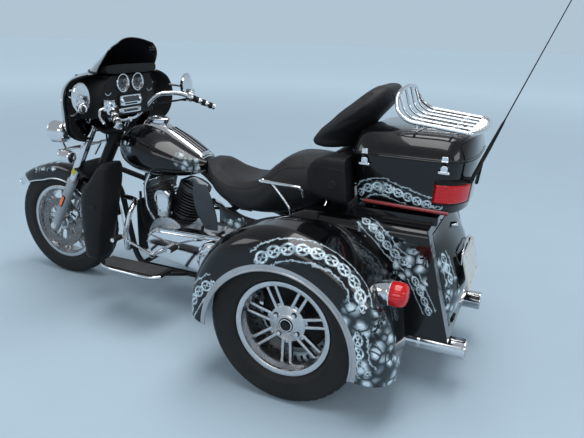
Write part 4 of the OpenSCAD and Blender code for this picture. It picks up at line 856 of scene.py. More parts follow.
def make_rack(options):
    """Chrome tubes: the outer one up into an arch at the front, four inner bars, cross bars, and the
    flat slotted plate behind them."""
    s = Shape()
    top = 1112
    hoop = [(-578, 226, 1087), (-560, 238, 1088), (-330, 238, top), (-286, 226, top + 30), (-266, 190,
            top + 80), (-268, 134, top + 106), (-268, 0, top + 115)]
    left = rounded_path(hoop, 40, 8)
    s.tube(np.concatenate([left[:-1], mirrored(left[::-1])]), 8, 0, 18)
    for y in (-144, -48, 48, 144):
        s.tube(rounded_path([(-574, y, 1087), (-330, y, top), (-292, y, top + 26), (-268, y,
                top + 108 - 60 * (abs(y) / 200) ** 4)], 34, 8), 5.2, 0, 14)
    for x in (-350, -500):
        z = 1086 + 26 * (x + 572) / 242
        s.tube([(x, -238, z - 1), (x, 238, z - 1)], 5.6, 0, 14)
        for y in (-150, 150):
            s.tube(rounded_path([(x, y - 26 * np.sign(y), z), (x, y, z - 4), (x, y, 1072)], 16), 6, 0, 14)
            s.turned([(17, 0), (17, 3), (9, 6)], (x, y, 1070), (0, 0, 1), 0, 24)
    rim = fine([(-556, 244, 1088), (-578, 236, 1088), (-603, 150, 1088), (-613, 0, 1088), (-603, -150, 1088),
            (-578, -236, 1088), (-556, -244, 1088)], 8)
    s.tube(rim, 8, 0, 14)
    inner = rim * (0.0, 0.86, 1.0) + (-560, 0, 0)
    s.tube(inner, 4, 0, 10)
    for y in span(-180, 180, 10):
        s.tube([(-560, y, 1088), (-598 + 0.0006 * y * y, y, 1088)], 4.0, 0, 10)
    s.done("rack_tubes", "lid", "chrome", ("chrome",), ("luggage_rack",))


# ---------------------------------------------------------------- seat and backrests
def swollen(name, rings, body, options, cap, voxel=0.006, stands_for=(), welts=()):
    """Padded piece. Its rings are remeshed evenly, blown up as cloth without gravity and held to within
    cap of where they began; one subdivision smooths it. Welts are cords laid on the finished skin."""
    s = Shape()
    s.loft(rings)
    pad = s.done(name, body, "leather", ("stitched leather",), stands_for, 180)
    scene = bpy.context.scene
    bpy.context.view_layer.objects.active = pad
    for o in bpy.context.selected_objects:
        o.select_set(False)
    pad.select_set(True)
    remesh = pad.modifiers.new("Even skin", "REMESH")
    remesh.mode = "VOXEL"
    remesh.voxel_size = voxel
    remesh.use_smooth_shade = True
    bpy.ops.object.modifier_apply(modifier=remesh.name)
    n = len(pad.data.vertices)
    rest = np.empty(n * 3)
    pad.data.vertices.foreach_get("co", rest)
    rest = rest.reshape(-1, 3)
    cloth = pad.modifiers.new("Padding", "CLOTH")
    cloth.settings.effector_weights.gravity = 0
    cloth.settings.use_pressure = True
    cloth.settings.uniform_pressure_force = 4
    cloth.settings.quality = 3
    cloth.settings.tension_stiffness = cloth.settings.compression_stiffness = 12
    cloth.collision_settings.use_collision = False
    for f in range(1, 21):
        scene.frame_set(f)
    shape = pad.evaluated_get(bpy.context.evaluated_depsgraph_get())
    moved = np.empty(n * 3)
    shape.data.vertices.foreach_get("co", moved)
    pad.modifiers.remove(cloth)
    scene.frame_set(1)
    step = moved.reshape(-1, 3) - rest
    size = np.linalg.norm(step, axis=1, keepdims=True)
    rest = rest + step * np.minimum(1, cap / 1000 / np.maximum(size, 1e-9))
    mm = rest * 1000 + (ORIGIN_X, 0, 0)
    normals = np.empty(n * 3)
    pad.data.vertices.foreach_get("normal", normals)
    normals = normals.reshape(-1, 3)
    for route, depth in welts:
        d = np.full(n, 1e9)
        for q in np.asarray(route, float)[::2]:
            d = np.minimum(d, np.linalg.norm(mm - q, axis=1))
        rest = rest - normals * (depth / 1000 * np.exp(-((d / 9.0) ** 2)))[:, None]
    pad.data.vertices.foreach_set("co", rest.ravel())
    pad.data.update()
    pad.data.polygons.foreach_set("use_smooth", [True] * len(pad.data.polygons))
    smooth = pad.modifiers.new("Soft skin", "SUBSURF")
    smooth.levels = smooth.render_levels = 1
    if welts:
        bpy.context.view_layer.update()
        cords = Shape()
        for route, depth in welts:
            on = []
            for q in np.asarray(route, float):
                ok, place, normal, _ = pad.closest_point_on_mesh(tuple((q - (ORIGIN_X, 0, 0)) / 1000))
                on.append(np.array(place) * 1000 + (ORIGIN_X, 0, 0) + np.array(normal) * 0.4)
            cords.tube(np.array(on), 1.9, 0, 8)
        cords.done(name + "_welts", body, "leather", ("seam thread",))
    return pad


SEAT_TOP = [[12, 890], [60, 901], [150, 902], [237, 886], [300, 832], [370, 776], [485, 755], [580, 782], [640,
        820], [688, 832]]
SEAT_LOW = [[12, 742], [60, 700], [150, 650], [237, 618], [300, 606], [370, 606], [485, 624], [580, 668], [640,
        730], [688, 796]]
SEAT_HALF = [[12, 170], [150, 180], [237, 187], [300, 203], [370, 212], [485, 206], [580, 182], [640, 136],
        [688, 60]]


def seat_point(x, a, out=0.0):
    """Point of the seat's skin at x and angle a in degrees round its section, a superellipse of power 3.2."""
    c, s = np.cos(np.radians(a)), np.sin(np.radians(a))
    low, top, half = curve(SEAT_LOW, x), curve(SEAT_TOP, x), curve(SEAT_HALF, x)
    dish = 9 * ramp(0.2, 1, s) * (1 - np.abs(c)) * ramp(330, 400, x) * ramp(640, 560, x)
    return stack(x, (half + out) * spow(c, 2 / 3.2), (low + top) / 2 + ((top - low) / 2 + out) * spow(s,
            2 / 3.2) - dish)


def make_seat(options):
    """Seat: rings of seat_point along X, drawn in at both ends, then padded, with welts on the skin."""
    a = (np.arange(64) + 0.5) * 360 / 64
    x = np.concatenate([[14], span(20, 676, 44), [684]])
    shrink = np.concatenate([[0.86], np.ones(45), [0.8]])
    rings = seat_point(x[:, None], a[None], -5.0)
    mid = rings.mean(1, keepdims=True)
    rings = mid + (rings - mid) * shrink[:, None, None]
    xs = span(34, 664, 60)
    edge = [seat_point(xs, b, 4.0) for b in (32.0, 148.0)]
    across = [seat_point(np.full(41, v), span(33, 147, 40), 4.0) for v in (296.0, 352.0)]
    swollen("seat_cover", rings, "chassis", options, 8, 0.007, ("seat",),
            [(r, 1.6) for r in edge] + [(r, 1.4) for r in across])


def pad_rings(table, wrap, inset, n=72, steps=26):
    """Rings of a backrest: height, middle, half depth and half width follow a table, and the sides wrap
    forward by the square of the distance from the middle."""
    t = np.asarray(table, float)
    k = np.arange(len(t))
    s = span(0, len(t) - 1, steps)
    z, xc, hx, hw = [curve(np.column_stack([k, t[:, c]]), s)[:, None] for c in range(4)]
    a = ((np.arange(n) + 0.5) * TAU / n)[None]
    y = (hw - inset) * spow(np.sin(a), 2 / 3.0)
    lean = wrap * (1 + 0.7 * ramp(1090, 1000, z) - 0.4 * ramp(1090, 1190, z))
    return stack(xc + (hx - inset) * spow(np.cos(a), 2 / 3.0) + lean * (np.abs(y) / 235) ** 2.4, y, z)


UPPER = [[974, -50, 40, 222], [986, -50, 54, 244], [1015, -52, 60, 250], [1070, -80, 58, 246], [1125, -124, 60,
        232], [1175, -166, 58, 204],
         [1212, -192, 44, 166], [1230, -202, 24, 122]]
LOWER = [[790, -56, 34, 186], [800, -54, 48, 208], [870, -52, 54, 212], [930, -52, 56, 212], [950, -54, 50,
        206], [958, -56, 36, 192]]


def make_backrests(options):
    """Both backrests, padded from rings of pad_rings, with welts along parabolas."""
    y = span(-205, 205, 50)
    crease = stack(6 + 70 * (y / 235) ** 2 - 12, y, 1052 + 0 * y)
    arc = stack(-60 + 0 * y, y * 0.86, 1148 - 60 * (y / 205) ** 2)
    swollen("upper_backrest_cover", pad_rings(UPPER, 54, 6), "lid", options, 8, 0.006, ("upper_backrest",),
            [(crease, 2.0), (arc, 1.4)])
    z = span(800, 960, 20)
    side = [stack(2 + 0 * z, s * 165 + 0 * z, z) for s in (-1, 1)]
    swollen("lower_backrest_cover", pad_rings(LOWER, 6, 6), "chassis", options, 7, 0.0065, ("lower_backrest",),
            [(q, 1.6) for q in side])


def make_speaker_pods(options):
    """Pods beside the passenger: an outline in the side view, a superellipse of low power in front and of
    high power behind, carried across with a rounded outer edge."""
    s = Shape()
    a = ((np.arange(96) + 0.5) * TAU / 96)[None]
    y = np.array([220, 221, 226, 300, 318, 328, 333, 334.5], float)[:, None]
    g = np.array([8, 4, 0, 0, 2, 6, 13, 24], float)[:, None]
    n = np.where(np.cos(a) > 0, 2.5, 9.0)
    x = -46 + (96 - g) * spow(np.cos(a), 2 / n)
    z = 866 + (88 - g) * spow(np.sin(a), 2 / np.where(np.cos(a) > 0, 2.5, 6.0)) - 14 * ramp(20, -130,
            x) * (np.sin(a) < 0) * np.abs(np.sin(a))
    s.loft(stack(np.maximum(x, -134 + (z - 764) * 0.103), y, z))
    s.turned([(17, 0), (17, 2.5), (14, 4), (12.5, 2.5), (5, 2.5), (4.5, 5), (1, 5.6)], (-68, 334, 846), (0, 1,
            0), 1, 28)
    s.tube(fine([(-118, 335, 905), (-60, 335.4, 912), (0, 335, 905), (26, 334, 880)], 8), 1.6, 1, 8)
    s.both().done("speaker_pod_shells", "chassis", "black_plastic", ("moulded black", "satin black metal"),
            ("speaker_pods",))


# ---------------------------------------------------------------- tank, console and side panels
TANK_TOP = [[705, 800], [800, 852], [900, 903], [1000, 940], [1090, 950], [1165, 915], [1200, 868]]
TANK_LOW = [[705, 742], [800, 712], [900, 698], [1000, 694], [1090, 706], [1165, 750], [1200, 800]]
TANK_HALF = [[705, 66], [760, 122], [850, 166], [950, 190], [1050, 194], [1130, 172], [1180, 122], [1200, 70]]


def make_tank(options):
    """Fuel tank: superellipses of power 2.3 along X, closed by short rounded ends."""
    x = np.concatenate([[705], 705 + 495 * (1 - np.cos(span(0, math.pi, 64)[1:-1])) / 2, [1200]])[:, None]
    a = ((np.arange(96) + 0.5) * TAU / 96)[None]
    low, top, half = curve(TANK_LOW, x), curve(TANK_TOP, x), curve(TANK_HALF, x)
    p = stack(x, half * spow(np.cos(a), 2 / 2.3), (low + top) / 2 + (top - low) / 2 * spow(np.sin(a), 2 / 2.3))
    blobs = [(at, r) for s in (-1, 1) for at, r in (((1092, s * 186, 832), 62), ((790, s * 126, 812), 62),
            ((752, s * 104, 778), 52))]
    s = Shape()
    s.grid(p, 0, (False, True), art=artwork(p, (), blobs))
    s.loop_caps(p)
    s.done("fuel_tank_shell", "chassis", "gloss_black", ("airbrushed paint", "chrome"), ("fuel_tank",))
    s = Shape()
    x, y = span(722, 1086, 60)[:, None], span(-47, 47, 24)[None]
    lift = 15 + 8 * (x - 730) / 350
    z = curve(TANK_TOP, x) + lift * np.clip(1 - np.abs(y / 47) ** 5, 0, 1) - 1.5 * np.abs(y / 47) ** 2
    end = ramp(722, 736, x) * ramp(1092, 1078, x)
    s.sheet(stack(x, y, curve(TANK_TOP, x) - 3 + (z - curve(TANK_TOP, x) + 3) * end)[:, ::-1], 6)
    # the two outer strips are near-black stand-ins for the gaps beside the middle strip: painted shade
    for y0, mat in ((-27, 1), (0, 2), (27, 1)):
        r = stack(span(742, 938, 30), y0, curve(TANK_TOP,
                span(742, 938, 30)) + 15 + 8 * (span(742, 938, 30) - 730) / 350 - 2.2)
        s.tube(r, 5.4, mat, 10, flat=0.5)
    for x0 in (704, 722):
        s.block((x0 + 22, 0, float(curve(TANK_TOP, x0 + 22)) + 13), (9, 36, 4), 0)
    c, w = math.cos(math.radians(9)), math.sin(math.radians(9))
    at, up = np.array((1018, 0, 974.0)), np.array((-w, 0, c))
    s.turned([(58, -24), (62, -8), (62, -0.4), (60, -0.4)], at, up, 0, 64, squeeze=0.66)
    for e in (-18.5, 18.5):
        s.tube([at + up * 7 + np.array((c, 0, w)) * (e - 3) + (0, -48, 0),
                at + up * 7 + np.array((c, 0, w)) * (e + 3) + (0, -48, 0)], 3.5, 0)
    s.done("tank_console_trim", "chassis", "chrome", ("chrome", "painted gap shade", "moulded black"), ("tank_console",))
    s = Shape()
    s.turned([(60, 0.2), (65, 1), (66, 4), (65, 8), (61, 11), (50, 13.4), (36, 14.2), (34, 13), (20, 14.4), (1,
            15)], at, up, 0, 72, squeeze=0.66)
    s.tube([at + up * 7 + np.array((c, 0, w)) * -14 + (0, -48, 0), at + up * 7 + np.array((c, 0, w)) * 14 + (0,
            -48, 0)], 4.6, 0)
    s.block(at + up * 6 + (0, -44, 0), (13, 4, 2.6), 0)
    s.done("fuel_door_cap", "fuel_door", "chrome", ("chrome",), ("fuel_door",))


def make_side_panels(options):
    """Side covers, air deflectors and lower fairings."""
    s = Shape()
    x, v = span(548, 218, 40)[None], span(0, 1, 26)[:, None]
    low, top = 430 + 14 * 8 * (x - 215) / 335, curve(SEAT_LOW, x) - 14
    edge = 1 - np.abs(2 * v - 1) ** 6
    p = stack(x, 196 - 12 * (x - 215) / 335 + 9 * edge * ramp(550, 520, x), low + (top - low) * v)
    s.sheet(p, 12, art=artwork(p, (), [((470, 200, 530), 50), ((430, 200, 552), 40), ((520, 198, 575), 30)]))
    s.both().done("side_cover_panels", "chassis", "gloss_black", ("airbrushed paint",), ("side_covers",))
    s = Shape()
    k, u = span(0, 8, 40)[:, None], span(1, -1, 20)[None]
    w = 26 + 30 * np.sin(np.pi * (k + 1) / 10)
    p = stack(600 + 62 * (k / 8) ** 1.2 + u * w, 179 + 14 * np.sin(np.pi * k / 8) + 5 * (1 - u * u),
            492 + 225 * k / 8)
    s.sheet(p, 5)
    s.both().done("air_deflector_wings", "chassis", "grey_plastic", ("grey shield",), ("air_deflectors",))
    s = Shape()
    k = span(0, 12, 60)[:, None]
    a = ((np.arange(80) + 0.5) * TAU / 80)[None]
    z = 268 + 512 * k / 12
    back = curve([[268, 1198], [379, 1176], [530, 1140], [674, 1108], [780, 1102]], z)
    front = curve([[268, 1292], [340, 1300], [600, 1298], [655, 1262], [700, 1224], [745, 1188], [780, 1158]],
            z)
    hx, hy = (front - back) / 2, 72 + 14 * np.sin(np.radians(150 * k / 12)) - 10 * (k / 12) ** 6
    close = 1 - 0.10 * ramp(0.4, 0, k) - 0.14 * ramp(11.5, 12, k)
    y = spow(np.sin(a), 2 / 3)
    groove = sum(np.exp(-((z - g) / 4.5) ** 2) for g in (318, 664)) * 3 + 4 * ramp(0.75, 0.9,
            np.abs(y)) * ramp(300, 330, z) * ramp(650, 620, z) * (y > 0)
    p = stack((front + back) / 2 + hx * close * spow(np.cos(a), 2 / 3), 256 + (hy * close - groove * 0.7) * y,
            z)
    s.loft(p)
    for g in range(7):
        s.tube([(1296 - 0.3 * g, 226, 372 + 34 * g), (1296 - 0.3 * g, 286, 372 + 34 * g)], 3, 1, 8)
    s.tube(fine([(1180, 336, 640), (1210, 341, 655), (1262, 338, 640)], 6), 3.2, 1, 8)
    s.block((1206, 338, 560), (24, 3.4, 8), 1, 6.0)
    s.both().done("lower_fairing_shells", "chassis", "black_plastic", ("moulded black", "satin black metal"),
            ("lower_fairings",))


# ---------------------------------------------------------------- front of the machine, which steers
def front_fender_surface(a, q):
    """Valanced fender: angle a round the wheel and q across, a superellipse of power 3.4 whose radius
    and width change toward the pointed front and the tail."""
    f = np.where(a < 70, (np.clip(70 - a, 0, 99) / 39) ** 1.5, 0)
    tail = np.clip((a - 120) / 48, 0, 1)
    r, skirt = 353 + 54 * f + 10 * tail, 88 - 30 * f
    rr = r - skirt + skirt * spow(np.cos(np.radians(q)), 2 / 3.4)
    return stack(WHEELBASE + rr * np.cos(np.radians(a)), 80 * (1 - 0.42 * f * f) * spow(np.sin(np.radians(q)),
            2 / 3.4), FRONT_R + rr * np.sin(np.radians(a)))


def make_front_fender(options):
    """Fender skin with its rolled edges, bright tip and small lamp."""
    a, q = span(168, 31, 110)[None], span(-90, 90, 48)[:, None]
    p = front_fender_surface(a, q)
    blobs = [(front_fender_surface(np.float64(x), np.float64(s * 30)), 52) for x in (66, 76, 84) for s in (-1,
            1)]
    s = Shape()
    s.sheet(p, 4, art=artwork(p, (), blobs))
    for e in (-90, 90):
        rim = front_fender_surface(span(166, 31.5, 80), np.float64(e))
        s.tube(rim + (0, np.sign(e) * 1.0, 0), 4.4, 1, 12)
    tip = front_fender_surface(span(44, 31.5, 12)[None], span(-90, 90, 40)[:, None])
    s.sheet(tip + grid_normals(tip) * 1.0, 1.6, 1)
    nose = front_fender_surface(np.float64(31.4), span(-90, 90, 40))
    s.tube(nose, 4.4, 1, 12)
    s.block((2004, 0, 560), (12, 16, 9), 2, 5.0)
    s.done("front_fender_shell", "fork", "gloss_black", ("airbrushed paint", "chrome", "amber lens"),
            ("front_fender",))


FAIRING = [[860, 215, 1482, 175], [890, 315, 1490, 205], [930, 385, 1497, 235], [975, 412, 1502, 258], [1030,
        422, 1503, 268],
           [1085, 425, 1496, 262], [1130, 410, 1478, 240], [1160, 385, 1452, 212], [1182, 345, 1424, 182],
           [1196, 290, 1406, 176], [1206, 226, 1394, 186]]


def fairing_column(c, z):
    """Column c of the fairing's table as a smooth curve of the height."""
    return curve([[r[0], r[c]] for r in FAIRING], z)


def fairing_surface(z, t, g=0.0):
    """Shell of the fairing: at height z the nose falls back by the 2.3th power of the place across."""
    return stack(fairing_column(2, z) - fairing_column(3, z) * np.abs(t) ** 2.3 - g,
            (fairing_column(1, z) - g) * t, z)


def dash_surface(z, t, n=0.0):
    """Inner face: flat in the middle, a step forward to a pocket on each side, then out to the rim."""
    zc = np.minimum(z, 1196)
    a = np.abs(t)
    w = fairing_column(1, zc) - 10 - 11 * np.clip((z - 1150) / 42, 0, 1)
    rim = fairing_surface(zc, 1.0)[..., 0] - 9
    mid = 1206 - 14 * (z - 985) / 215
    x = mid + (1300 - mid) * ramp(0.48, 0.64, a) + (rim - 1300) * ramp(0.80, 1.0, a)
    return stack(np.minimum(x, 1300 - 14 * np.clip((z - 1150) / 42, 0, 1)) + n, w * t, z)


def make_fairing(options):
    """Outer shell, dashboard with its hood, bezels and radio, and the dial faces."""
    z = np.concatenate([span(860, 1150, 44), span(1150, 1206, 20)[1:]])[:, None]
    t = np.sin(span(-1, 1, 90) * math.pi / 2)[None]
    p = fairing_surface(z, t)
    s = Shape()
    s.sheet(p, 5)
    rim = fairing_surface(span(866, 1200, 60), 1.0)
    for e in (1, -1):
        s.tube(rim * (1, e, 1), 3.6, 1, 10)
    s.tube(fairing_surface(np.float64(1206.0), span(-0.98, 0.98, 50)) + (2, 0, 2), 4.0, 1, 10)
    s.done("fairing_outer_shell", "fork", "gloss_black", ("gloss black paint", "moulded black"),
            ("fairing_shell",))
    s = Shape()
    z, t = span(874, 1190, 60)[:, None], span(1, -1, 120)[None]
    p = dash_surface(z, t)
    q = dash_surface(z, t, 4.0)
    top = int((z[:, 0] <= 985).sum())
    side = int((p[-1, :, 1] > 216).sum())
    for rows, cols in ((slice(top - 1, None), slice(None)), (slice(0, top), slice(0, side)), (slice(0, top),
            slice(-side, None))):
        s.sheet(p[rows, cols], 4, inner=q[rows, cols])
    x = np.concatenate([[1170, 1171], span(1178, 1366, 20)])[:, None]
    h = 1246 - 40 * (np.clip(x - 1176, 0, 999) / 196) ** 1.4
    wide = np.minimum(194, 222 * (np.clip(1392 - x, 1, 999) / 182) ** (1 / 2.2) - 12)
    a = ((np.arange(64) + 0.5) * TAU / 64)[None]
    close = np.where(x < 1171, 0.9, 1.0)
    s.loft(stack(x, wide * close * spow(np.cos(a), 2 / 5), h - 22 + 22 * close * spow(np.sin(a), 2 / 5)))
    deck = stack(span(1200, 1380, 20)[:, None], span(-1, 1, 30)[None] * 190, 1190.0)
    s.sheet(deck[:, ::-1], 5)
    for y in (-58, 58):
        s.turned([(47, 0), (48, 8), (46, 12), (42, 12.6), (40, 8), (39, 3)], (1199, y, 1152), (-1, 0, 0), 1, 56,
                (True, False))
    for y in (-164, 164):
        s.turned([(27, 0), (28, 7), (26, 10), (23, 10.2), (21.5, 5), (21, 2)], (1208, y, 1122), (-1, 0, 0), 1,
                40, (True, False))
    for y in (-230, 230):
        s.turned([(22, 0), (23, 5), (21, 8), (18, 8), (17, 3)], (1262, y, 1062), (-1, 0, 0), 1, 36, (True,
                False))
    for y in (-318, 318):
        s.turned([(62, 0), (66, 4), (64, 9), (57, 10), (54, 4)], (1298, y, 1068), (-1, 0, 0), 1, 56, (True,
                False))
        s.turned([(55, 3), (48, 4), (22, 1), (18, 5), (1, 9)], (1298, y, 1068), (-1, 0, 0), 3, 48)
    s.block((1202, 0, 1062), (9, 92, 33), 0, 9.0)
    s.block((1194, 0, 1062), (3, 84, 26), 1, 9.0)
    s.block((1191, 0, 1068), (2.4, 62, 15), 2, 9.0)
    for y in (-72, 72):
        s.turned([(10, 0), (10, 7), (8.5, 9), (1, 9.4)], (1192, y, 1062), (-1, 0, 0), 1, 24)
    for k in range(6):
        s.block((1190.5, -40 + 16 * k, 1045), (2.2, 6, 3.6), 0, 6.0)
    for k in range(7):
        s.block((1196, -66 + 22 * k, 1010), (5, 8, 7), 1 if k in (0, 6) else 2, 6.0)
    s.block((1204, 0, 1010), (7, 88, 14), 1, 9.0)
    s.done("fairing_dashboard", "fork", "black_plastic", ("moulded black", "chrome", "dial face",
            "speaker mesh"), ("fairing_dash",))
    s = Shape()
    for y, z0, r, x0 in ((-58, 1152, 40, 1194), (58, 1152, 40, 1194), (-164, 1122, 21.5, 1204), (164, 1122,
            21.5, 1204), (-230, 1062, 17.5, 1258), (230, 1062, 17.5, 1258)):
        face = [(r, 0), (r * 0.6, 0.3), (r * 0.2, 0.4), (0.3, 0.4)]
        pr = np.array(face)
        b = np.arange(48) * TAU / 48
        rings = stack(x0 - pr[:, 1, None], y + pr[:, 0, None] * np.sin(b), z0 + pr[:, 0, None] * np.cos(b))
        s.grid(rings, 0, (False, True), vs=pr[:, 0] / r)
        s.tube([(x0 - 2, y - 1, z0 + 1), (x0 - 2.4, y - r * 0.5, z0 + r * 0.52)], 0.9, 1, 6)
        s.turned([(r * 0.13, 0), (r * 0.12, 2.6), (0.4, 3)], (x0 - 0.6, y, z0), (-1, 0, 0), 2, 16)
    s.done("gauge_faces", "fork", "black_plastic", ("dial face", "blank plate", "moulded black"), turn=False)


def make_windshield(options):
    """Screen: at each height it falls back by the 2.2th power of the place across, with a bowed top."""
    rows = [[1208, 223, 1394, 184], [1250, 220, 1340, 150], [1300, 208, 1270, 104], [1345, 184, 1208, 58],
            [1376, 140, 1162, 26]]
    z0 = span(1208, 1376, 40)[:, None]
    t = np.sin(span(-1, 1, 64) * math.pi / 2)[None]
    col = [curve([[r[0], r[c]] for r in rows], z0) for c in (1, 2, 3)]
    k = (z0 - 1208) / 168
    s = Shape()
    p = stack(col[1] - col[2] * np.abs(t) ** 2.2 + 4, col[0] * t, z0 - 24 * t * t * k - 2 + 3 * (1 - t * t) * k)
    s.sheet(p, 4)
    s.done("windshield_screen", "fork", "smoked", ("smoked screen",), ("windshield",))


BAR = [(1256, 0, 952), (1256, 42, 952), (1250, 110, 962), (1178, 205, 1078), (1085, 290, 1082), (930, 411,
        1000)]


def make_controls(options):
    """Handlebar, grips, switch housings, levers, cables and mirrors."""
    s = Shape()
    path = rounded_path(BAR[1:], 42, 8)
    s.tube(np.concatenate([mirrored(path[::-1]), path]), 12.7, 0, 20)
    for y in (-42, 42):
        s.block((1256, y, 952), (19, 17, 17), 0, 5.0)
    a, b = np.array(BAR[5], float), np.array(BAR[4], float)
    d = unit(b - a)
    length = np.linalg.norm(b - a)

    def on_bar(f):
        return a + (b - a) * f
    side = Shape()
    side.turned([(13, 0), (17.5, 2), (18, 8), (16.6, 12), (16.6, 20)], a, d, 0, 32)
    for k in range(5):
        side.turned([(16.4, 0), (17.6, 2), (17.6, 18), (16.4, 20)], a + d * (20 + 20.5 * k), d,
                1 if k % 2 == 0 else 0, 28)
    side.turned([(17, 0), (18, 3), (18, 8), (16, 10)], a + d * 123, d, 0, 28)
    side.turned([(23, 0), (27, 3), (28, 16), (27, 34), (20, 38)], on_bar(0.63), d, 0, 32, squeeze=1.0)
    side.block(on_bar(0.71) + (-24, 0, -6), (10, 12, 17), 2, 5.0)
    side.block(on_bar(0.70) + (6, 10, 26), (24, 20, 15), 0, 4.0)
    side.block(on_bar(0.70) + (6, 10, 42), (22, 18, 2.5), 0, 6.0)
    lever = rounded_path([on_bar(0.74) + (22, 22, 2), on_bar(0.66) + (48, 34, 2), on_bar(0.36) + (56, 42, 0),
            on_bar(0.06) + (44, 38, 2)], 26)
    side.tube(lever, np.interp(span(0, 1, len(lever) - 1), [0, 0.2, 0.8, 1], [8, 7, 6, 7.5]), 0, 14, flat=0.72)
    side.turned([(4, -14), (9, -12), (9, 12), (4, 14)], on_bar(0.74) + (20, 20, 2), (0, 0, 1), 0, 20)
    for k, r in ((0, 5.0), (1, 4.0)):
        cable = fine([on_bar(0.78) + (10, 4, -16 - 10 * k), on_bar(1.0) + (16 + 8 * k, -8, -44), (1214,
                196 - 22 * k, 1010), (1268, 120 - 20 * k, 930), (1310, 70 - 16 * k, 840)], 10)
        side.tube(cable, r, 2, 10)
    s.merge(side).merge(side, True)
    s.done("handlebar_and_grips", "fork", "chrome", ("chrome", "soft rubber", "moulded black"), ("handlebar",
            "hand_controls"))
    s = Shape()
    at, back = (1150, 424, 1111), (-1, 0, 0)
    s.turned([(18, -10), (36, -2), (46, 10), (49, 20), (49, 27), (47, 29)], at, back, 0, 56, squeeze=1.42)
    s.turned([(46.6, 27), (30, 26.6), (0.5, 26.4)], at, back, 1, 56, (False, True), squeeze=1.42)
    s.tube(rounded_path([(1164, 418, 1104), (1200, 412, 1108), (1240, 398, 1112)], 16), 7, 0, 16)
    s.both().done("mirror_heads", "fork", "mirror", ("chrome", "mirror glass"), ("mirrors",))


def make_fork(options):
    """Sliders, upper tubes, yokes, brake calipers, reflectors and the lamps in front."""
    s = Shape()
    up = on_fork(np.array((0, 0, 1.0))) - on_fork(np.array((0, 0, 0.0)))
    fwd = on_fork(np.array((1.0, 0, 0))) - on_fork(np.array((0, 0, 0.0)))
    basis = np.array([fwd, (0, 1, 0), up])
    for e in (-1, 1):
        foot = on_fork(np.array((75.0, e * 112, 0)))
        s.turned([(14, -34), (22, -31), (25, -24), (26, 20), (26.4, 200), (27.2, 300), (29.5, 306), (29.5, 326),
                (26, 331), (22, 332)], foot, up, 0, 40)
        s.turned([(21, 330), (21, 708)], foot, up, 1, 32)
        s.turned([(24, 406), (24.6, 410), (24.6, 690), (24, 694)], foot, up, 1, 32)
        s.turned([(16, 0), (17.5, 3), (17.5, 9), (11, 12)], (WHEELBASE, e * 128, FRONT_R), (0, e, 0), 1, 28)
        # these side reflectors take the amber lens finish, whose faint emission makes them glow though they are
        # no lamp: painted light
        s.block(on_fork(np.array((75 + 2.0, e * 140.5, 182))), (9, 2.6, 31), 3, 7.0, basis=basis)
        s.block(on_fork(np.array((75.0, e * 138.4, 182))), (12, 3.0, 36), 4, 7.0, basis=basis)
        s.block(on_fork(np.array((70.0, e * 141, 392))), (12, 1.4, 17), 5, 9.0, basis=basis)
        s.block(on_fork(np.array((76.0, e * 85.8, 266))), (14, 4.8, 30), 0, 7.0, basis=basis)
    s.turned([(12.5, -143), (12.5, 143)], (WHEELBASE, 0, FRONT_R), (0, 1, 0), 1, 24)
    for z in (415, 711):
        s.block(on_fork(np.array((34.0, 0, z))), (66, 141, 12.6), 4, 5.0, basis=basis)
    s.turned([(15, 402), (15, 724)], on_fork(np.array((0, 0, 0.0))), up, 1, 28)
    for e in (-42, 42):
        s.turned([(17, 722), (15, 728), (14, 748)], on_fork(np.array((-1.0, e, 0))), up, 1, 24)
    s.done("fork_legs", "fork", "silver_paint", ("satin silver", "chrome", "satin black metal", "amber lens",
            "moulded black", "blank yellow label"), ("fork",))
    s = Shape()
    for e in (-1, 1):
        turn = lambda v: np.array((WHEELBASE, 0, FRONT_R)) + basis.T @ np.array(v, float)
        s.block(turn((-63, e * 75, 109)), (25, 9.5, 31), 0, 4.0, basis=basis)
        for k in (-14, 0, 14):
            s.turned([(7, 0), (7, 2), (5.5, 3.4)], turn((-63 + k, e * 84, 109)), (0, e, 0), 1, 20)
        s.block(turn((-63, e * 54, 109)), (25, 4, 31), 0, 4.0, basis=basis)
        s.block(turn((-32, e * 81, 107)), (18, 6.6, 15), 0, 5.0, basis=basis)
    s.done("front_calipers", "fork", "chrome", ("chrome", "satin black metal"), ("brake_calipers",))
    s = Shape()
    s.turned([(60, -10), (88, 0), (99, 20), (99, 98), (102, 104), (102, 112), (96, 116)], (1446, 0, 1002), (1,
            0, 0), 0, 72)
    s.turned([(96, 112), (90, 118), (70, 122.5), (40, 125), (1, 126)], (1440, 0, 1002), (1, 0, 0), 1, 72)
    for e in (-1, 1):
        s.turned([(10, -24), (30, -20), (48, -4), (54, 10), (54, 60), (57, 66), (57, 72), (53, 75)], (1462,
                e * 205, 893), (1, 0, 0), 0, 56)
        s.turned([(53, 72), (44, 75), (20, 77), (1, 77.6)], (1462, e * 205, 893), (1, 0, 0), 1, 48)
        s.tube([(1478, e * 200, 800), (1498, e * 205, 846)], 10, 0, 20)
        s.turned([(16, -2), (29, 4), (34, 14), (34, 60), (36, 63), (36, 67), (33, 69)], (1372, e * 262, 780),
                (1, 0, 0), 0, 40)
        s.turned([(33, 66), (28, 74), (18, 79), (1, 81)], (1372, e * 262, 780), (1, 0, 0), 2, 40)
        s.tube([(1474, e * 240, 798), (1430, e * 256, 784)], 8, 0, 16)
        s.tube([on_fork(np.array((128.4, e * 70, 430))), (1478, e * 70, 800)], 8, 0, 16)
    s.tube([(1478, -252, 800), (1478, 252, 800)], 9, 0, 16)
    s.done("front_lamp_set", "fork", "chrome", ("chrome", "clear lens", "amber lens"), ("front_lamps",))


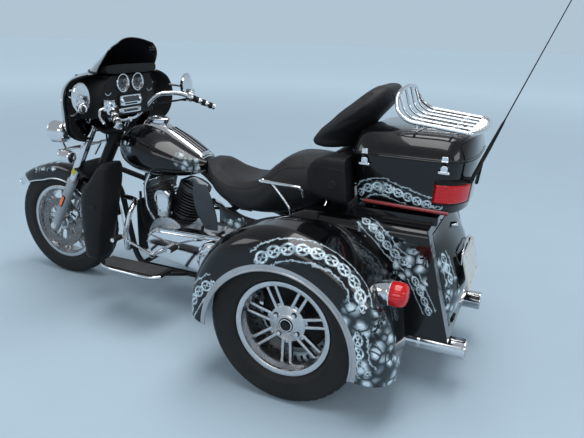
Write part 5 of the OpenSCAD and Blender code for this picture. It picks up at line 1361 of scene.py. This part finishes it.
# ---------------------------------------------------------------- wheels
def make_tyre(name, body, node, centre, r, w, rim, tread):
    """Tyre: the profile goes round the wheel, and blocks of tread are cut by sinking the crown where a
    groove runs round it or slants across it."""
    k = w / 2
    prof = np.array([(rim - 13, 0.60), (rim - 13, 0.72), (rim + 2, 0.78), (rim + 5, 0.87), (rim + 14, 0.965),
            (rim + 24, 0.985), (rim + 26, 1.0), (rim + 30, 0.99),
                     ((r + rim) / 2, 1.0), (r - 34, 0.972), (r - 30, 0.975), (r - 24, 0.945), (r - 12, 0.86)],
                     float)
    crown = span(1, -1, 44)
    cy = 0.80 * crown
    cr = r - 0.5 - 6.5 * np.abs(crown) ** 2.4
    rr = np.concatenate([prof[:, 0], cr, prof[::-1, 0]])
    yy = np.concatenate([prof[:, 1], cy, -prof[::-1, 1]]) * k
    n = 400
    th = span(0, TAU, n)[:-1][None]
    mask = np.concatenate([np.zeros(13), np.ones(45), np.zeros(13)])[:, None]
    v = np.concatenate([np.ones(13), crown, -np.ones(13)])[:, None]
    ring = sum(np.exp(-((v - g) / 0.05) ** 2) for g in ((-0.55, 0, 0.55) if tread else (-0.35, 0.35)))
    slant = np.exp(-((((th * 50 / TAU + 0.55 * np.abs(v) * (1 if tread else 2.2)) % 1) - 0.5) / 0.10) ** 2) * (np.abs(v) > 0.12)
    depth = mask * 5.5 * np.clip(np.maximum(ring, slant), 0, 1)
    rad = rr[:, None] - depth
    p = stack(centre[0] + rad * np.cos(th), centre[1] + yy[:, None], centre[2] + rad * np.sin(th))
    s = Shape()
    s.grid(p, 0, (True, True))
    s.done(name, body, "tyre", ("tyre rubber",), (node,), 50)


def spoke(s, centre, angle, r0, r1, y, half, deep, shift, mat=0, taper=0.8):
    """One spoke: a superellipse section carried out from the hub, at an angle in the wheel's plane."""
    f = span(0, 1, 8)[:, None]
    a = ((np.arange(16) + 0.5) * TAU / 16)[None]
    out = np.array((math.cos(angle), 0, math.sin(angle)))
    side = np.array((-math.sin(angle), 0, math.cos(angle)))
    w, d = half * (1 - (1 - taper) * f), deep * (1 - 0.1 * f)
    p = (np.array(centre, float) + (r0 + (r1 - r0) * f)[...,
            None] * out + (shift * (1 - 0.15 * f) + w * spow(np.cos(a), 0.5))[..., None] * side
         + (y + d * spow(np.sin(a), 0.5))[..., None] * np.array((0, 1.0, 0)))
    s.loft(p, mat)


def make_rear_wheel(name, body, nodes, side):
    """Tyre, rim profile turned about the axle, seven double spokes, hub, disc, and dark blocks that stand in
    for holes as painted shade.
    """
    c, e = np.array((0, side * HALF_TRACK, REAR_R)), side
    make_tyre(name + "_tyre_rubber", body, nodes[0], c, REAR_R, 205, 202, True)
    s = Shape()
    lip = [(202, 0.45), (201, 0.462), (196, 0.466), (184, 0.452), (181, 0.44), (180, 0.36), (172, 0.30), (170,
            0.22), (170, -0.22), (181, -0.31),
           (182, -0.44), (202, -0.45), (202, -0.42), (188, -0.405), (187, -0.30), (177, -0.2), (177, 0.2), (187,
           0.30), (188, 0.405), (202, 0.42)]
    pr = np.array([(r, y * 190.6) for r, y in lip])
    th = np.arange(128) * TAU / 128
    s.grid(stack(pr[:, 0, None] * np.cos(th), c[1] + e * pr[:, 1, None], REAR_R + pr[:, 0, None] * np.sin(th)),
            0, (True, True))
    s.turned([(50, -58), (50, 10), (60, 16), (76, 19), (78, 24), (78, 33), (72, 38), (44, 40), (40, 43), (36,
            46)], c, (0, e, 0), 0, 72)
    for k in range(7):
        for q in (-1, 1):
            spoke(s, c, k * TAU / 7 + q * math.radians(2.6) + 0.22, 62, 178, e * 27, 7.6, 11, q * 12.5, 0, 0.86)
        spoke(s, c, k * TAU / 7 + 0.22, 60, 88, e * 22, 14, 9, 0, 0, 0.7)
    for k in range(4):
        a = k * TAU / 4 + 0.6
        at = c + np.array((math.cos(a), 0, math.sin(a))) * 56
        s.turned([(12, 36), (12, 39.5), (9.6, 40.6), (9.4, 40.5)], at, (0, e, 0), 2, 24)
        s.turned([(8.6, 38), (8.6, 46), (7.4, 48), (3.6, 48), (3.4, 45.5), (0.4, 45.5)], at, (0, e, 0), 1, 6)
    s.turned([(31, 40), (31, 47), (28, 49.5), (24, 50), (22, 48.4), (14, 48.4), (12.5, 50), (0.5, 50.5)], c, (0,
            e, 0), 3, 48)
    s.turned([(27, 49.6), (26, 50.6), (23.4, 50.6), (23, 49.4)], c, (0, e, 0), 1, 48, (False, False))
    s.turned([(50, -59), (146, -58), (150, -56), (150, -52), (146, -50), (88, -49.5), (60, -49)], c, (0, e, 0),
            2, 72)
    # 36 solid dark blocks inside the rim stand in for holes: painted shade
    for k in range(36):
        a = k * TAU / 36
        s.block(c + np.array((math.cos(a) * 164, e * 4, math.sin(a) * 164)), (4.5, 5, 8), 2, 5.0, 10,
                basis=np.array([(-math.sin(a), 0, math.cos(a)), (0, 1, 0), (math.cos(a), 0, math.sin(a))]))
    s.done(name + "_rim_casting", body, "polished_alloy", ("polished alloy", "chrome", "satin black metal",
            "moulded black"), (nodes[1],))


def make_front_wheel(options):
    """Tyre, rim profile turned about the axle, nine double spokes, hub and two discs whose drilled holes are
    dark dots of painted shade.
    """
    c = np.array((WHEELBASE, 0, FRONT_R))
    make_tyre("front_tyre_rubber", "front_wheel", "front_tyre", c, FRONT_R, 130, 218, False)
    s = Shape()
    lip = [(218, 0.45), (216, 0.46), (200, 0.45), (197, 0.33), (186, 0.22), (186, -0.22), (197, -0.33), (200,
            -0.45), (216, -0.46), (218, -0.45),
           (218, -0.42), (204, -0.405), (203, -0.30), (193, -0.2), (193, 0.2), (203, 0.30), (204, 0.405), (218,
           0.42)]
    pr = np.array([(r, y * 123.5) for r, y in lip])
    th = np.arange(128) * TAU / 128
    s.grid(stack(WHEELBASE + pr[:, 0, None] * np.cos(th), pr[:, 1, None], FRONT_R + pr[:, 0,
            None] * np.sin(th)), 0, (True, True))
    s.turned([(40, -72), (46, -66), (46, -30), (38, -20), (38, 20), (46, 30), (46, 66), (40, 72)], c, (0, 1, 0),
            0, 64)
    for k in range(9):
        for q in (-1, 1):
            spoke(s, c, k * TAU / 9 + q * math.radians(2.4), 40, 196, 0, 6.4, 13, q * 8.5, 0, 0.9)
    for e in (-1, 1):
        disc = np.array([(146, 61.6), (146, 66.4), (104, 66.4), (104, 61.6)])
        s.grid(stack(WHEELBASE + disc[:, 0, None] * np.cos(th), e * disc[:, 1, None], FRONT_R + disc[:, 0,
                None] * np.sin(th)), 1, (True, True))
        for k in range(8):
            spoke(s, c, k * TAU / 8 + 0.2, 42, 108, e * 64, 9, 2, 0, 2, 0.8)
        # 36 dark dots on each disc face stand in for the drilled holes: painted shade, the discs are not cut
        # through
        for k in range(36):
            a = k * TAU / 36
            r = 116 + 9 * (k % 3)
            s.turned([(3, 0), (3, 0.3), (0.3, 0.35)],
                    c + np.array((math.cos(a) * r, e * 66.4, math.sin(a) * r)), (0, e, 0), 3, 8)
    s.done("front_rim_casting", "front_wheel", "polished_alloy", ("polished alloy", "brake steel",
            "brake steel", "painted gap shade"), ("front_rim",))


# ---------------------------------------------------------------- engine and what is bolted beside it
def make_engine(options):
    """Primary cover: stacked rings of two arcs and their tangents; then horn, rocker and air covers."""
    s = Shape()
    c1, c2 = np.array((928.0, 359)), np.array((580.0, 338))
    for y0, y1, r1, r2, k in ((100.5, 158, 84, 112, 0), (158, 164, 80, 108, 0), (164, 180, 66, 98, 0)):
        n = 60
        d = np.linalg.norm(c1 - c2)
        base, b = math.atan2(c1[1] - c2[1], c1[0] - c2[0]), math.acos((r2 - r1) / d)
        t1, t2 = span(base - b, base + b, n), span(base + b, base - b + TAU, n)
        out = np.concatenate([c1 + r1 * np.stack([np.cos(t1), np.sin(t1)], -1),
                c2 + r2 * np.stack([np.cos(t2), np.sin(t2)], -1)])
        mid = out.mean(0)
        rows = [(y0, 0.0), (y1 - 8, 0.0), (y1 - 3, 1.4), (y1 - 0.6, 4.0), (y1, 8.0)]
        ring = [stack(*(lambda q: (q[:, 0], y, np.maximum(q[:, 1], 219)))(out - unit(out - mid) * inset)) for y,
                inset in rows]
        s.loft(np.array(ring))
    at = (580, 0, 338)
    s.turned([(100, 176), (98, 196), (94, 202), (82, 204), (80, 206), (79, 212), (74, 215.5), (62, 216), (60,
            213), (58, 213), (54, 217), (30, 218.5), (0.5, 219)], at, (0, 1, 0), 0, 96)
    for k in range(5):
        a = k * TAU / 5 + 0.3
        s.turned([(5, 0), (5, 3), (3.6, 4)], (580 + 70 * math.cos(a), 214, 338 + 70 * math.sin(a)), (0, 1, 0),
                1, 16)
    for k in range(12):
        a = k * TAU / 12
        if math.cos(a) > -0.3:
            s.turned([(5.5, 0), (5.5, 4), (3.6, 5)], (928 + 72 * math.cos(a), 164, 359 + 72 * math.sin(a)), (0,
                    1, 0), 1, 16)
    s.done("primary_cover_casting", "chassis", "chrome", ("chrome", "bright fins"), ("primary_cover",))
    s = Shape()
    z, a = span(0, 1, 20)[:, None], ((np.arange(48) + 0.5) * TAU / 48)[None]
    zz = 500 + 142 * z
    hw = curve([[500, 26], [530, 34], [590, 46], [628, 44], [642, 30]], zz)
    s.loft(stack(910 + hw * spow(np.cos(a), 2 / 3), 136 + (18 + 6 * np.sin(np.pi * z)) * spow(np.sin(a),
            2 / 3) * (0.8 + 0.2 * np.sin(np.pi * z)), zz))
    s.tube([(910, 74, 520), (910, 128, 524)], 10, 1, 16)
    for e in (-1, 1):
        for k in range(2):
            q = math.radians(22.5) * e
            ax, up = np.array((math.sin(q), 0, math.cos(q))), np.array((920, 0, 365.0))
            top = up + ax * 292
            s.block(top + ax * (6 + 14 * k), (62 - 12 * k, 74 - 14 * k, 12), 0 if k else 2, 5.0,
                    basis=np.array([(math.cos(q), 0, -math.sin(q)), (0, 1, 0), ax]))
    for k in range(6):
        s.tube([(866 + 18 * k, 96, 300), (866 + 18 * k, 99.5, 300)], 0.5, 1, 6)
    s.tube(rounded_path([(700, 96, 470), (690, 140, 430), (640, 150, 420), (560, 120, 470)], 30), 8, 1, 14)
    s.tube(rounded_path([(1010, 60, 420), (1046, 96, 520), (1052, 100, 640), (1030, 84, 700)], 30), 9, 0, 14)
    s.tube(rounded_path([(1072, 70, 380), (1092, 92, 470), (1086, 96, 600)], 30), 7, 1, 14)
    s.block((1108, 0, 400), (10, 100, 150), 1, 9.0)
    s.done("engine_dressing", "chassis", "chrome", ("chrome", "satin black metal", "bright fins"))
    s = Shape()
    s.turned([(26, -36), (26, 20), (60, 21), (84, 26), (85, 32), (85, 60), (82, 66), (66, 78), (58, 80), (30,
            76), (1, 75)], (925, -100, 560), (0, -1, 0), 0, 72)
    s.turned([(60, 70), (62, 74), (56, 80.6), (52, 80)], (925, -100, 560), (0, -1, 0), 1, 64, (False, False))
    s.done("air_cleaner_cover", "chassis", "chrome", ("chrome", "satin black metal"), ("air_cleaner",))


def make_running_boards(options):
    """Boards: a rounded outline stacked in height, ribs and brackets; then the foot levers."""
    s = Shape()
    edge = [(752, 300), (1096, 300), (1130, 322), (1128, 372), (1098, 410), (1030, 428), (850, 432), (784, 424),
            (754, 396), (752, 300)]
    rim = rounded_path([(x, y, 292) for x, y in edge[1:-1]] , 26)
    outline = rounded_path([(x, y, 0) for x, y in edge[:-1]] + [(752, 300, 0)], 20, 5)[:, :2]
    mid = outline.mean(0)
    ring = [stack(*((outline - unit(outline - mid) * g).T), z) for z, g in ((282, 3), (284, 0), (296, 0),
            (299, 2), (300, 5), (300, 9))]
    s.loft(np.array(ring), 1)
    s.tube(rim + (0, 0, 1), 7.5, 0, 14, flat=1.0)
    for y in (312, 328, 344, 360, 376, 392, 408):
        x0, x1 = 766 + 0.16 * max(0, y - 380) * 3, 1116 - 0.9 * max(0, y - 360)
        s.tube([(x0, y, 301), (x1, y, 301)], 4.6, 2, 10, flat=0.9)
    for x in (790, 1068):
        s.tube([(x, 138.6, 200), (x, 345, 281)], 9, 3, 16)
    s.both().done("floorboard_pads", "chassis", "board_rubber", ("chrome", "satin black metal", "rubber rib",
            "satin black metal"), ("floorboards",))
    s = Shape()
    s.tube(rounded_path([(1092, 262, 398), (900, 262, 332), (748, 262, 405)], 24, 8), 7, 0, 16, flat=1.3)
    for x, z in ((1092, 398), (748, 405)):
        s.tube([(x, 256, z), (x, 330, z)], 11, 0, 20)
        for k in range(5):
            s.turned([(12, 0), (14, 2), (14, 8), (12, 10)], (x, 268 + 12 * k, z), (0, 1, 0), 1, 24)
    s.tube([(900, 185, 332), (900, 262, 332)], 9, 0)
    s.turned([(14, 0), (15, 3), (15, 10), (10, 13)], (900, 258, 332), (0, 1, 0), 0, 28)
    s.tube([(1058, 262, 388), (1108, 236, 560)], 3.4, 0, 10)
    s.tube(rounded_path([(1092, -262, 398), (960, -262, 310), (900, -262, 245)], 24, 8), 8, 0, 16)
    s.tube([(900, -262, 245), (900, -136, 203)], 9, 0)
    s.block((1092, -290, 400), (24, 42, 15), 1, 5.0)
    s.done("foot_levers", "chassis", "chrome", ("chrome", "soft rubber"), ("foot_controls",))


def make_rails(options):
    """Tubes on rounded routes: passenger rails, engine guard, exhaust; and the antenna."""
    s = Shape()
    s.tube(rounded_path([(300, 226, 790), (306, 252, 796), (150, 258, 795), (96, 252, 790), (96, 232, 745)], 20,
            8), 6.5, 0, 16)
    s.tube(rounded_path([(300, 226, 790), (260, 226, 792), (200, 234, 735), (150, 250, 690), (150, 236, 640),
            (150, 221.4, 604.2), (150, 133.3, 548.4)], 20, 6), 5.6, 0, 16)
    s.turned([(9, -3), (11, 0), (9, 4)], (300, 226, 790), (0, 1, 0), 0, 20)
    s.both().done("passenger_rails", "chassis", "chrome", ("chrome",), ("grab_rails",))
    s = Shape()
    s.tube(rounded_path([(1130, 140, 300), (1104, 205, 304), (1084, 236, 420), (1058, 214, 540), (1066, 152,
            572), (1146, 151, 578)], 42, 8), 13, 0, 20)
    s.both().done("engine_guard_tubes", "chassis", "chrome", ("chrome",), ("engine_guard",))
    s = Shape()
    for e in (-1, 1):
        s.turned([(22, 0), (40, 60), (40, 860), (40.5, 866), (44, 1050), (45, 1054), (45, 1058), (42.5, 1058),
                (38, 1040), (36, 900), (20, 890)],
                 (400, e * 250, 205), (-1, 0, 0), 0, 64)
        s.turned([(41.2, 0), (42, 4), (42, 20), (41.2, 24)], (-452, e * 250, 205), (-1, 0, 0), 0, 64, (False,
                False))
    for pts in (((1072, -92, 560), (1100, -150, 520), (1060, -172, 330), (900, -176, 290), (600, -178, 262),
            (440, -236, 205), (376, -250, 205)),
                ((760, -96, 540), (742, -165, 500), (690, -174, 360), (620, -178, 264)),
                ((480, -216, 205), (440, -160, 138), (420, 0, 136), (400, 160, 138), (396, 214, 190), (374, 250,
                205))):
        s.tube(rounded_path(pts, 66, 8), 22, 0, 24)
    s.block((440, 0, 167), (9, 19, 19), 1, 20.0)
    s.done("exhaust_pipes", "chassis", "chrome", ("chrome", "satin black metal"), ("exhaust",))
    s = Shape()
    s.tube([(-524, 212, 909), (-590, 212, 909)], 8, 0)
    lean = math.radians(20.5)
    up, at = np.array((-math.sin(lean), 0, math.cos(lean))), (-590, 212, 905)
    s.turned([(5, -12), (9.6, -10), (9.6, 6), (8, 10), (7.6, 150), (5, 240), (3.6, 250), (2.6, 262), (2.0, 600),
            (1.7, 940), (2.6, 944), (2.6, 956), (1, 960)], at, up, 0, 20)
    for k in range(14):
        s.turned([(7.6, 0), (8.8, 2.4), (7.6, 4.8)], np.array(at) + up * (24 + 9 * k), up, 1, 20)
    s.done("whip_antenna", "chassis", "mast", ("moulded black", "satin black metal"), ("antenna",))


# ---------------------------------------------------------------- stage
def make_stage(options):
    """Pale floor, even light from above and a few soft panels, and the camera."""
    scene = bpy.context.scene
    scene.view_settings.view_transform = "Standard"
    world = bpy.data.worlds.new("Soft studio")
    scene.world = world
    world.use_nodes = True
    t = world.node_tree
    back = t.nodes["Background"]
    part = t.nodes.new("ShaderNodeSeparateXYZ")
    t.links.new(t.nodes.new("ShaderNodeTexCoord").outputs["Generated"], part.inputs[0])
    glow = remap(t, part.outputs[2], 0.08, 0.40)
    t.links.new(mixed(t, glow, (*[c / options.sky_strength for c in options.floor_color], 1), (0.46, 0.50, 0.54,
            1)), back.inputs[0])
    back.inputs[1].default_value = options.sky_strength
    m = bpy.data.materials.new("pale studio floor")
    m.use_nodes = True
    t = m.node_tree
    shader = t.nodes["Principled BSDF"]
    place = t.nodes.new("ShaderNodeTexCoord").outputs["Object"]
    noise = wire(t, "ShaderNodeTexNoise", place, None, 3.0, 3.0)
    col = options.floor_color
    t.links.new(mixed(t, remap(t, noise, 0.3, 0.7), (*[c * 0.985 for c in col], 1), (*col, 1)),
            shader.inputs["Base Color"])
    shader.inputs["Roughness"].default_value = 0.85
    shader.inputs["Specular IOR Level"].default_value = 0.1
    away = t.nodes.new("ShaderNodeVectorMath")
    away.operation = "LENGTH"
    t.links.new(place, away.inputs[0])
    t.links.new(mixed(t, remap(t, away.outputs["Value"], 1.8, 15.0), (0, 0, 0, 1), (*col, 1)),
            shader.inputs["Emission Color"])
    shader.inputs["Emission Strength"].default_value = options.floor_glow
    r = np.array([0.0, 6, 20, 60])[:, None]
    a = np.arange(48) * TAU / 48
    mesh = bpy.data.meshes.new("floor")
    p = stack(r * np.cos(a), r * np.sin(a), 0.0)[1:].reshape(-1, 3)
    quads = [[k * 48 + j, (k + 1) * 48 + j, (k + 1) * 48 + (j + 1) % 48,
            k * 48 + (j + 1) % 48] for k in range(2) for j in range(48)]
    mesh.from_pydata(p.tolist(), [], quads + [list(range(48))])
    mesh.materials.append(m)
    floor = bpy.data.objects.new("studio_floor", mesh)
    scene.collection.objects.link(floor)
    for name, at, aim, size, power in (("top", (-1.0, 0.0, 9.0), (0, 0, 0), (9.0, 4.0), 3.2), ("left",
            (-1.5, 10, 5.6), (0, 0, 0.6), (8.0, 2.6), 0.9),
                                       ("rear", (-10, 2.6, 6.0), (0, 0, 0.7), (4.6, 3.0), 0.9), ("front",
                                       (8, 5.6, 6.6), (0.8, 0, 0.8), (4.6, 3.2), 0.8)):
        lamp = bpy.data.lights.new("panel_" + name, "AREA")
        lamp.shape = "RECTANGLE"
        lamp.size, lamp.size_y = size
        lamp.energy = power * options.panel_power
        o = bpy.data.objects.new("panel_" + name, lamp)
        scene.collection.objects.link(o)
        o.location = at
        o.rotation_euler = (Vector(aim) - Vector(at)).to_track_quat("-Z", "Y").to_euler()
    cam = bpy.data.cameras.new("view")
    cam.sensor_width = SENSOR
    cam.lens = LENS
    cam.clip_end = 200
    o = bpy.data.objects.new("view", cam)
    scene.collection.objects.link(o)
    az, el, roll = VIEW_TURN, VIEW_TILT, VIEW_ROLL
    d = Vector((math.cos(el) * math.cos(az), math.cos(el) * math.sin(az), math.sin(el)))
    r = d.cross(Vector((0, 0, 1))).normalized()
    u = r.cross(d)
    r2, u2 = r * math.cos(roll) + u * math.sin(roll), u * math.cos(roll) - r * math.sin(roll)
    o.matrix_world = Matrix(((r2.x, u2.x, -d.x, VIEW_PLACE[0] - ORIGIN_X / 1000), (r2.y, u2.y, -d.y,
            VIEW_PLACE[1]), (r2.z, u2.z, -d.z, VIEW_PLACE[2]), (0, 0, 0, 1)))
    scene.camera = o


def keep_cad_nodes(options):
    """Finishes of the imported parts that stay."""
    kept = {"rear_axle": "satin black metal", "engine_case": "polished alloy", "cylinders": "dark fins"}
    for node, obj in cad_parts.items():
        name = kept.get(node, "satin black metal")
        for slot in obj.material_slots:
            slot.material = FINISH[name]
        if not obj.material_slots:
            obj.data.materials.append(FINISH[name])


# ---------------------------------------------------------------- settings, operators and panel
class TrikeSettings(bpy.types.PropertyGroup):
    """Sizes and colours that can be changed."""

    paint_color: bpy.props.FloatVectorProperty(name="Paint", description="Body paint", subtype="COLOR", size=3,
            default=(0.0022, 0.0022, 0.0028), min=0, max=1)
    leather_color: bpy.props.FloatVectorProperty(name="Leather", description="Seat covers", subtype="COLOR",
            size=3, default=(0.0085, 0.0085, 0.0095), min=0, max=1)
    silver_color: bpy.props.FloatVectorProperty(name="Silver", description="Fork sliders and arch trims",
            subtype="COLOR", size=3, default=(0.46, 0.47, 0.49), min=0, max=1)
    link_pitch: bpy.props.FloatProperty(name="Link pitch", description="Length of one painted chain link",
            default=0.056, min=0.02, max=0.12, unit="LENGTH")
    floor_color: bpy.props.FloatVectorProperty(name="Floor", description="Studio floor", subtype="COLOR",
            size=3, default=(0.434, 0.552, 0.644), min=0, max=1)
    floor_glow: bpy.props.FloatProperty(name="Floor glow",
            description="Light the floor gives off far from the machine", default=0.62, min=0, max=2)
    sky_strength: bpy.props.FloatProperty(name="Sky strength",
            description="Brightness of the surrounding light", default=0.75, min=0, max=5)
    panel_power: bpy.props.FloatProperty(name="Panel power", description="Power of the light panels",
            default=172.0, min=0, max=2000, unit="POWER")


def make_rear_wheels(options):
    """The two rear wheels, one the mirror image of the other."""
    make_rear_wheel("left", "left_wheel", ("left_tyre", "left_rim"), 1)
    make_rear_wheel("right", "right_wheel", ("right_tyre", "right_rim"), -1)


class TRIKE_OT_finishes(bpy.types.Operator):
    """Build the shader groups and every material"""

    bl_idname = "trike.finishes"
    bl_label = "Finishes"

    def execute(self, context):
        build_finishes(context.scene.trike)
        return {"FINISHED"}


class TRIKE_OT_rear_fenders(bpy.types.Operator):
    """Fenders over the rear wheels, with painted chain and bright lips"""

    bl_idname = "trike.rear_fenders"
    bl_label = "Rear fenders"

    def execute(self, context):
        make_rear_fenders(context.scene.trike)
        return {"FINISHED"}


class TRIKE_OT_rear_body(bpy.types.Operator):
    """Body between the rear wheels, with its plinth and running lines"""

    bl_idname = "trike.rear_body"
    bl_label = "Rear body"

    def execute(self, context):
        make_rear_body(context.scene.trike)
        return {"FINISHED"}


class TRIKE_OT_cargo_door(bpy.types.Operator):
    """Door under the trunk, with its number plate"""

    bl_idname = "trike.cargo_door"
    bl_label = "Cargo door"

    def execute(self, context):
        make_cargo_door(context.scene.trike)
        return {"FINISHED"}


class TRIKE_OT_rear_lamps(bpy.types.Operator):
    """Tail lamps on the rear fenders"""

    bl_idname = "trike.rear_lamps"
    bl_label = "Rear lamps"

    def execute(self, context):
        make_rear_lamps(context.scene.trike)
        return {"FINISHED"}


class TRIKE_OT_trunk(bpy.types.Operator):
    """Trunk, lid, latches and wrap-round lamps"""

    bl_idname = "trike.trunk"
    bl_label = "Trunk"

    def execute(self, context):
        make_trunk(context.scene.trike)
        make_trunk_lamps(context.scene.trike)
        make_latches(context.scene.trike)
        return {"FINISHED"}


class TRIKE_OT_rack(bpy.types.Operator):
    """Rack on the trunk lid"""

    bl_idname = "trike.rack"
    bl_label = "Luggage rack"

    def execute(self, context):
        make_rack(context.scene.trike)
        return {"FINISHED"}


class TRIKE_OT_seat(bpy.types.Operator):
    """Seat, passenger's backrests and their seams"""

    bl_idname = "trike.seat"
    bl_label = "Seat and backrests"

    def execute(self, context):
        make_seat(context.scene.trike)
        make_backrests(context.scene.trike)
        return {"FINISHED"}


class TRIKE_OT_speaker_pods(bpy.types.Operator):
    """Pods at the sides of the passenger's seat"""

    bl_idname = "trike.speaker_pods"
    bl_label = "Speaker pods"

    def execute(self, context):
        make_speaker_pods(context.scene.trike)
        return {"FINISHED"}


class TRIKE_OT_tank(bpy.types.Operator):
    """Fuel tank, console and fuel door"""

    bl_idname = "trike.tank"
    bl_label = "Tank"

    def execute(self, context):
        make_tank(context.scene.trike)
        return {"FINISHED"}


class TRIKE_OT_side_panels(bpy.types.Operator):
    """Side covers, air deflectors and lower fairings"""

    bl_idname = "trike.side_panels"
    bl_label = "Side panels"

    def execute(self, context):
        make_side_panels(context.scene.trike)
        return {"FINISHED"}


class TRIKE_OT_front_fender(bpy.types.Operator):
    """Fender over the front wheel"""

    bl_idname = "trike.front_fender"
    bl_label = "Front fender"

    def execute(self, context):
        make_front_fender(context.scene.trike)
        return {"FINISHED"}


class TRIKE_OT_fairing(bpy.types.Operator):
    """Fairing, dashboard, dials and windshield"""

    bl_idname = "trike.fairing"
    bl_label = "Fairing"

    def execute(self, context):
        make_fairing(context.scene.trike)
        make_windshield(context.scene.trike)
        return {"FINISHED"}


class TRIKE_OT_controls(bpy.types.Operator):
    """Handlebar, grips, levers and mirrors"""

    bl_idname = "trike.controls"
    bl_label = "Handlebar"

    def execute(self, context):
        make_controls(context.scene.trike)
        return {"FINISHED"}


class TRIKE_OT_fork(bpy.types.Operator):
    """Fork, calipers and front lamps"""

    bl_idname = "trike.fork"
    bl_label = "Fork"

    def execute(self, context):
        make_fork(context.scene.trike)
        return {"FINISHED"}


class TRIKE_OT_rear_wheels(bpy.types.Operator):
    """Rear tyres and wheels"""

    bl_idname = "trike.rear_wheels"
    bl_label = "Rear wheels"

    def execute(self, context):
        make_rear_wheels(context.scene.trike)
        return {"FINISHED"}


class TRIKE_OT_front_wheel(bpy.types.Operator):
    """Front tyre, wheel and brake discs"""

    bl_idname = "trike.front_wheel"
    bl_label = "Front wheel"

    def execute(self, context):
        make_front_wheel(context.scene.trike)
        return {"FINISHED"}


class TRIKE_OT_engine(bpy.types.Operator):
    """Primary cover, horn cover, rocker covers and air cleaner"""

    bl_idname = "trike.engine"
    bl_label = "Engine trims"

    def execute(self, context):
        make_engine(context.scene.trike)
        return {"FINISHED"}


class TRIKE_OT_running_boards(bpy.types.Operator):
    """Floorboards and foot controls"""

    bl_idname = "trike.running_boards"
    bl_label = "Floorboards"

    def execute(self, context):
        make_running_boards(context.scene.trike)
        return {"FINISHED"}


class TRIKE_OT_rails(bpy.types.Operator):
    """Grab rails, engine guard, exhaust and whip antenna"""

    bl_idname = "trike.rails"
    bl_label = "Rails and pipes"

    def execute(self, context):
        make_rails(context.scene.trike)
        return {"FINISHED"}


class TRIKE_OT_frame_finish(bpy.types.Operator):
    """Finishes of the frame, engine and axle"""

    bl_idname = "trike.frame_finish"
    bl_label = "Frame finish"

    def execute(self, context):
        keep_cad_nodes(context.scene.trike)
        return {"FINISHED"}


class TRIKE_OT_stage(bpy.types.Operator):
    """Floor, lights and camera"""

    bl_idname = "trike.stage"
    bl_label = "Stage"

    def execute(self, context):
        make_stage(context.scene.trike)
        return {"FINISHED"}


class TRIKE_PT_build(bpy.types.Panel):
    """Settings and the operators, in the order in which they run."""

    bl_label = "Three-wheeler"
    bl_idname = "TRIKE_PT_build"
    bl_space_type = "VIEW_3D"
    bl_region_type = "UI"
    bl_category = "Trike"

    def draw(self, context):
        for key in TrikeSettings.__annotations__:
            self.layout.prop(context.scene.trike, key)
        for step in STEPS:
            self.layout.operator(step.bl_idname)


STEPS = (TRIKE_OT_finishes, TRIKE_OT_rear_fenders, TRIKE_OT_rear_body, TRIKE_OT_cargo_door, TRIKE_OT_rear_lamps,
        TRIKE_OT_trunk, TRIKE_OT_rack, TRIKE_OT_seat, TRIKE_OT_speaker_pods, TRIKE_OT_tank,
        TRIKE_OT_side_panels, TRIKE_OT_front_fender, TRIKE_OT_fairing, TRIKE_OT_controls, TRIKE_OT_fork,
        TRIKE_OT_rear_wheels, TRIKE_OT_front_wheel, TRIKE_OT_engine, TRIKE_OT_running_boards, TRIKE_OT_rails,
        TRIKE_OT_frame_finish, TRIKE_OT_stage)


def register():
    """Adds the settings, the operators and the panel."""
    for cls in (TrikeSettings, *STEPS, TRIKE_PT_build):
        bpy.utils.register_class(cls)
    bpy.types.Scene.trike = bpy.props.PointerProperty(type=TrikeSettings)


def unregister():
    """Takes them away again, last first."""
    del bpy.types.Scene.trike
    for cls in (TRIKE_PT_build, *reversed(STEPS), TrikeSettings):
        bpy.utils.unregister_class(cls)


def main():
    """Runs every step in order."""
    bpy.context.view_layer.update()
    register()
    for step in STEPS:
        getattr(bpy.ops.trike, step.bl_idname.split(".")[1])()


if __name__ == "__main__":
    main()
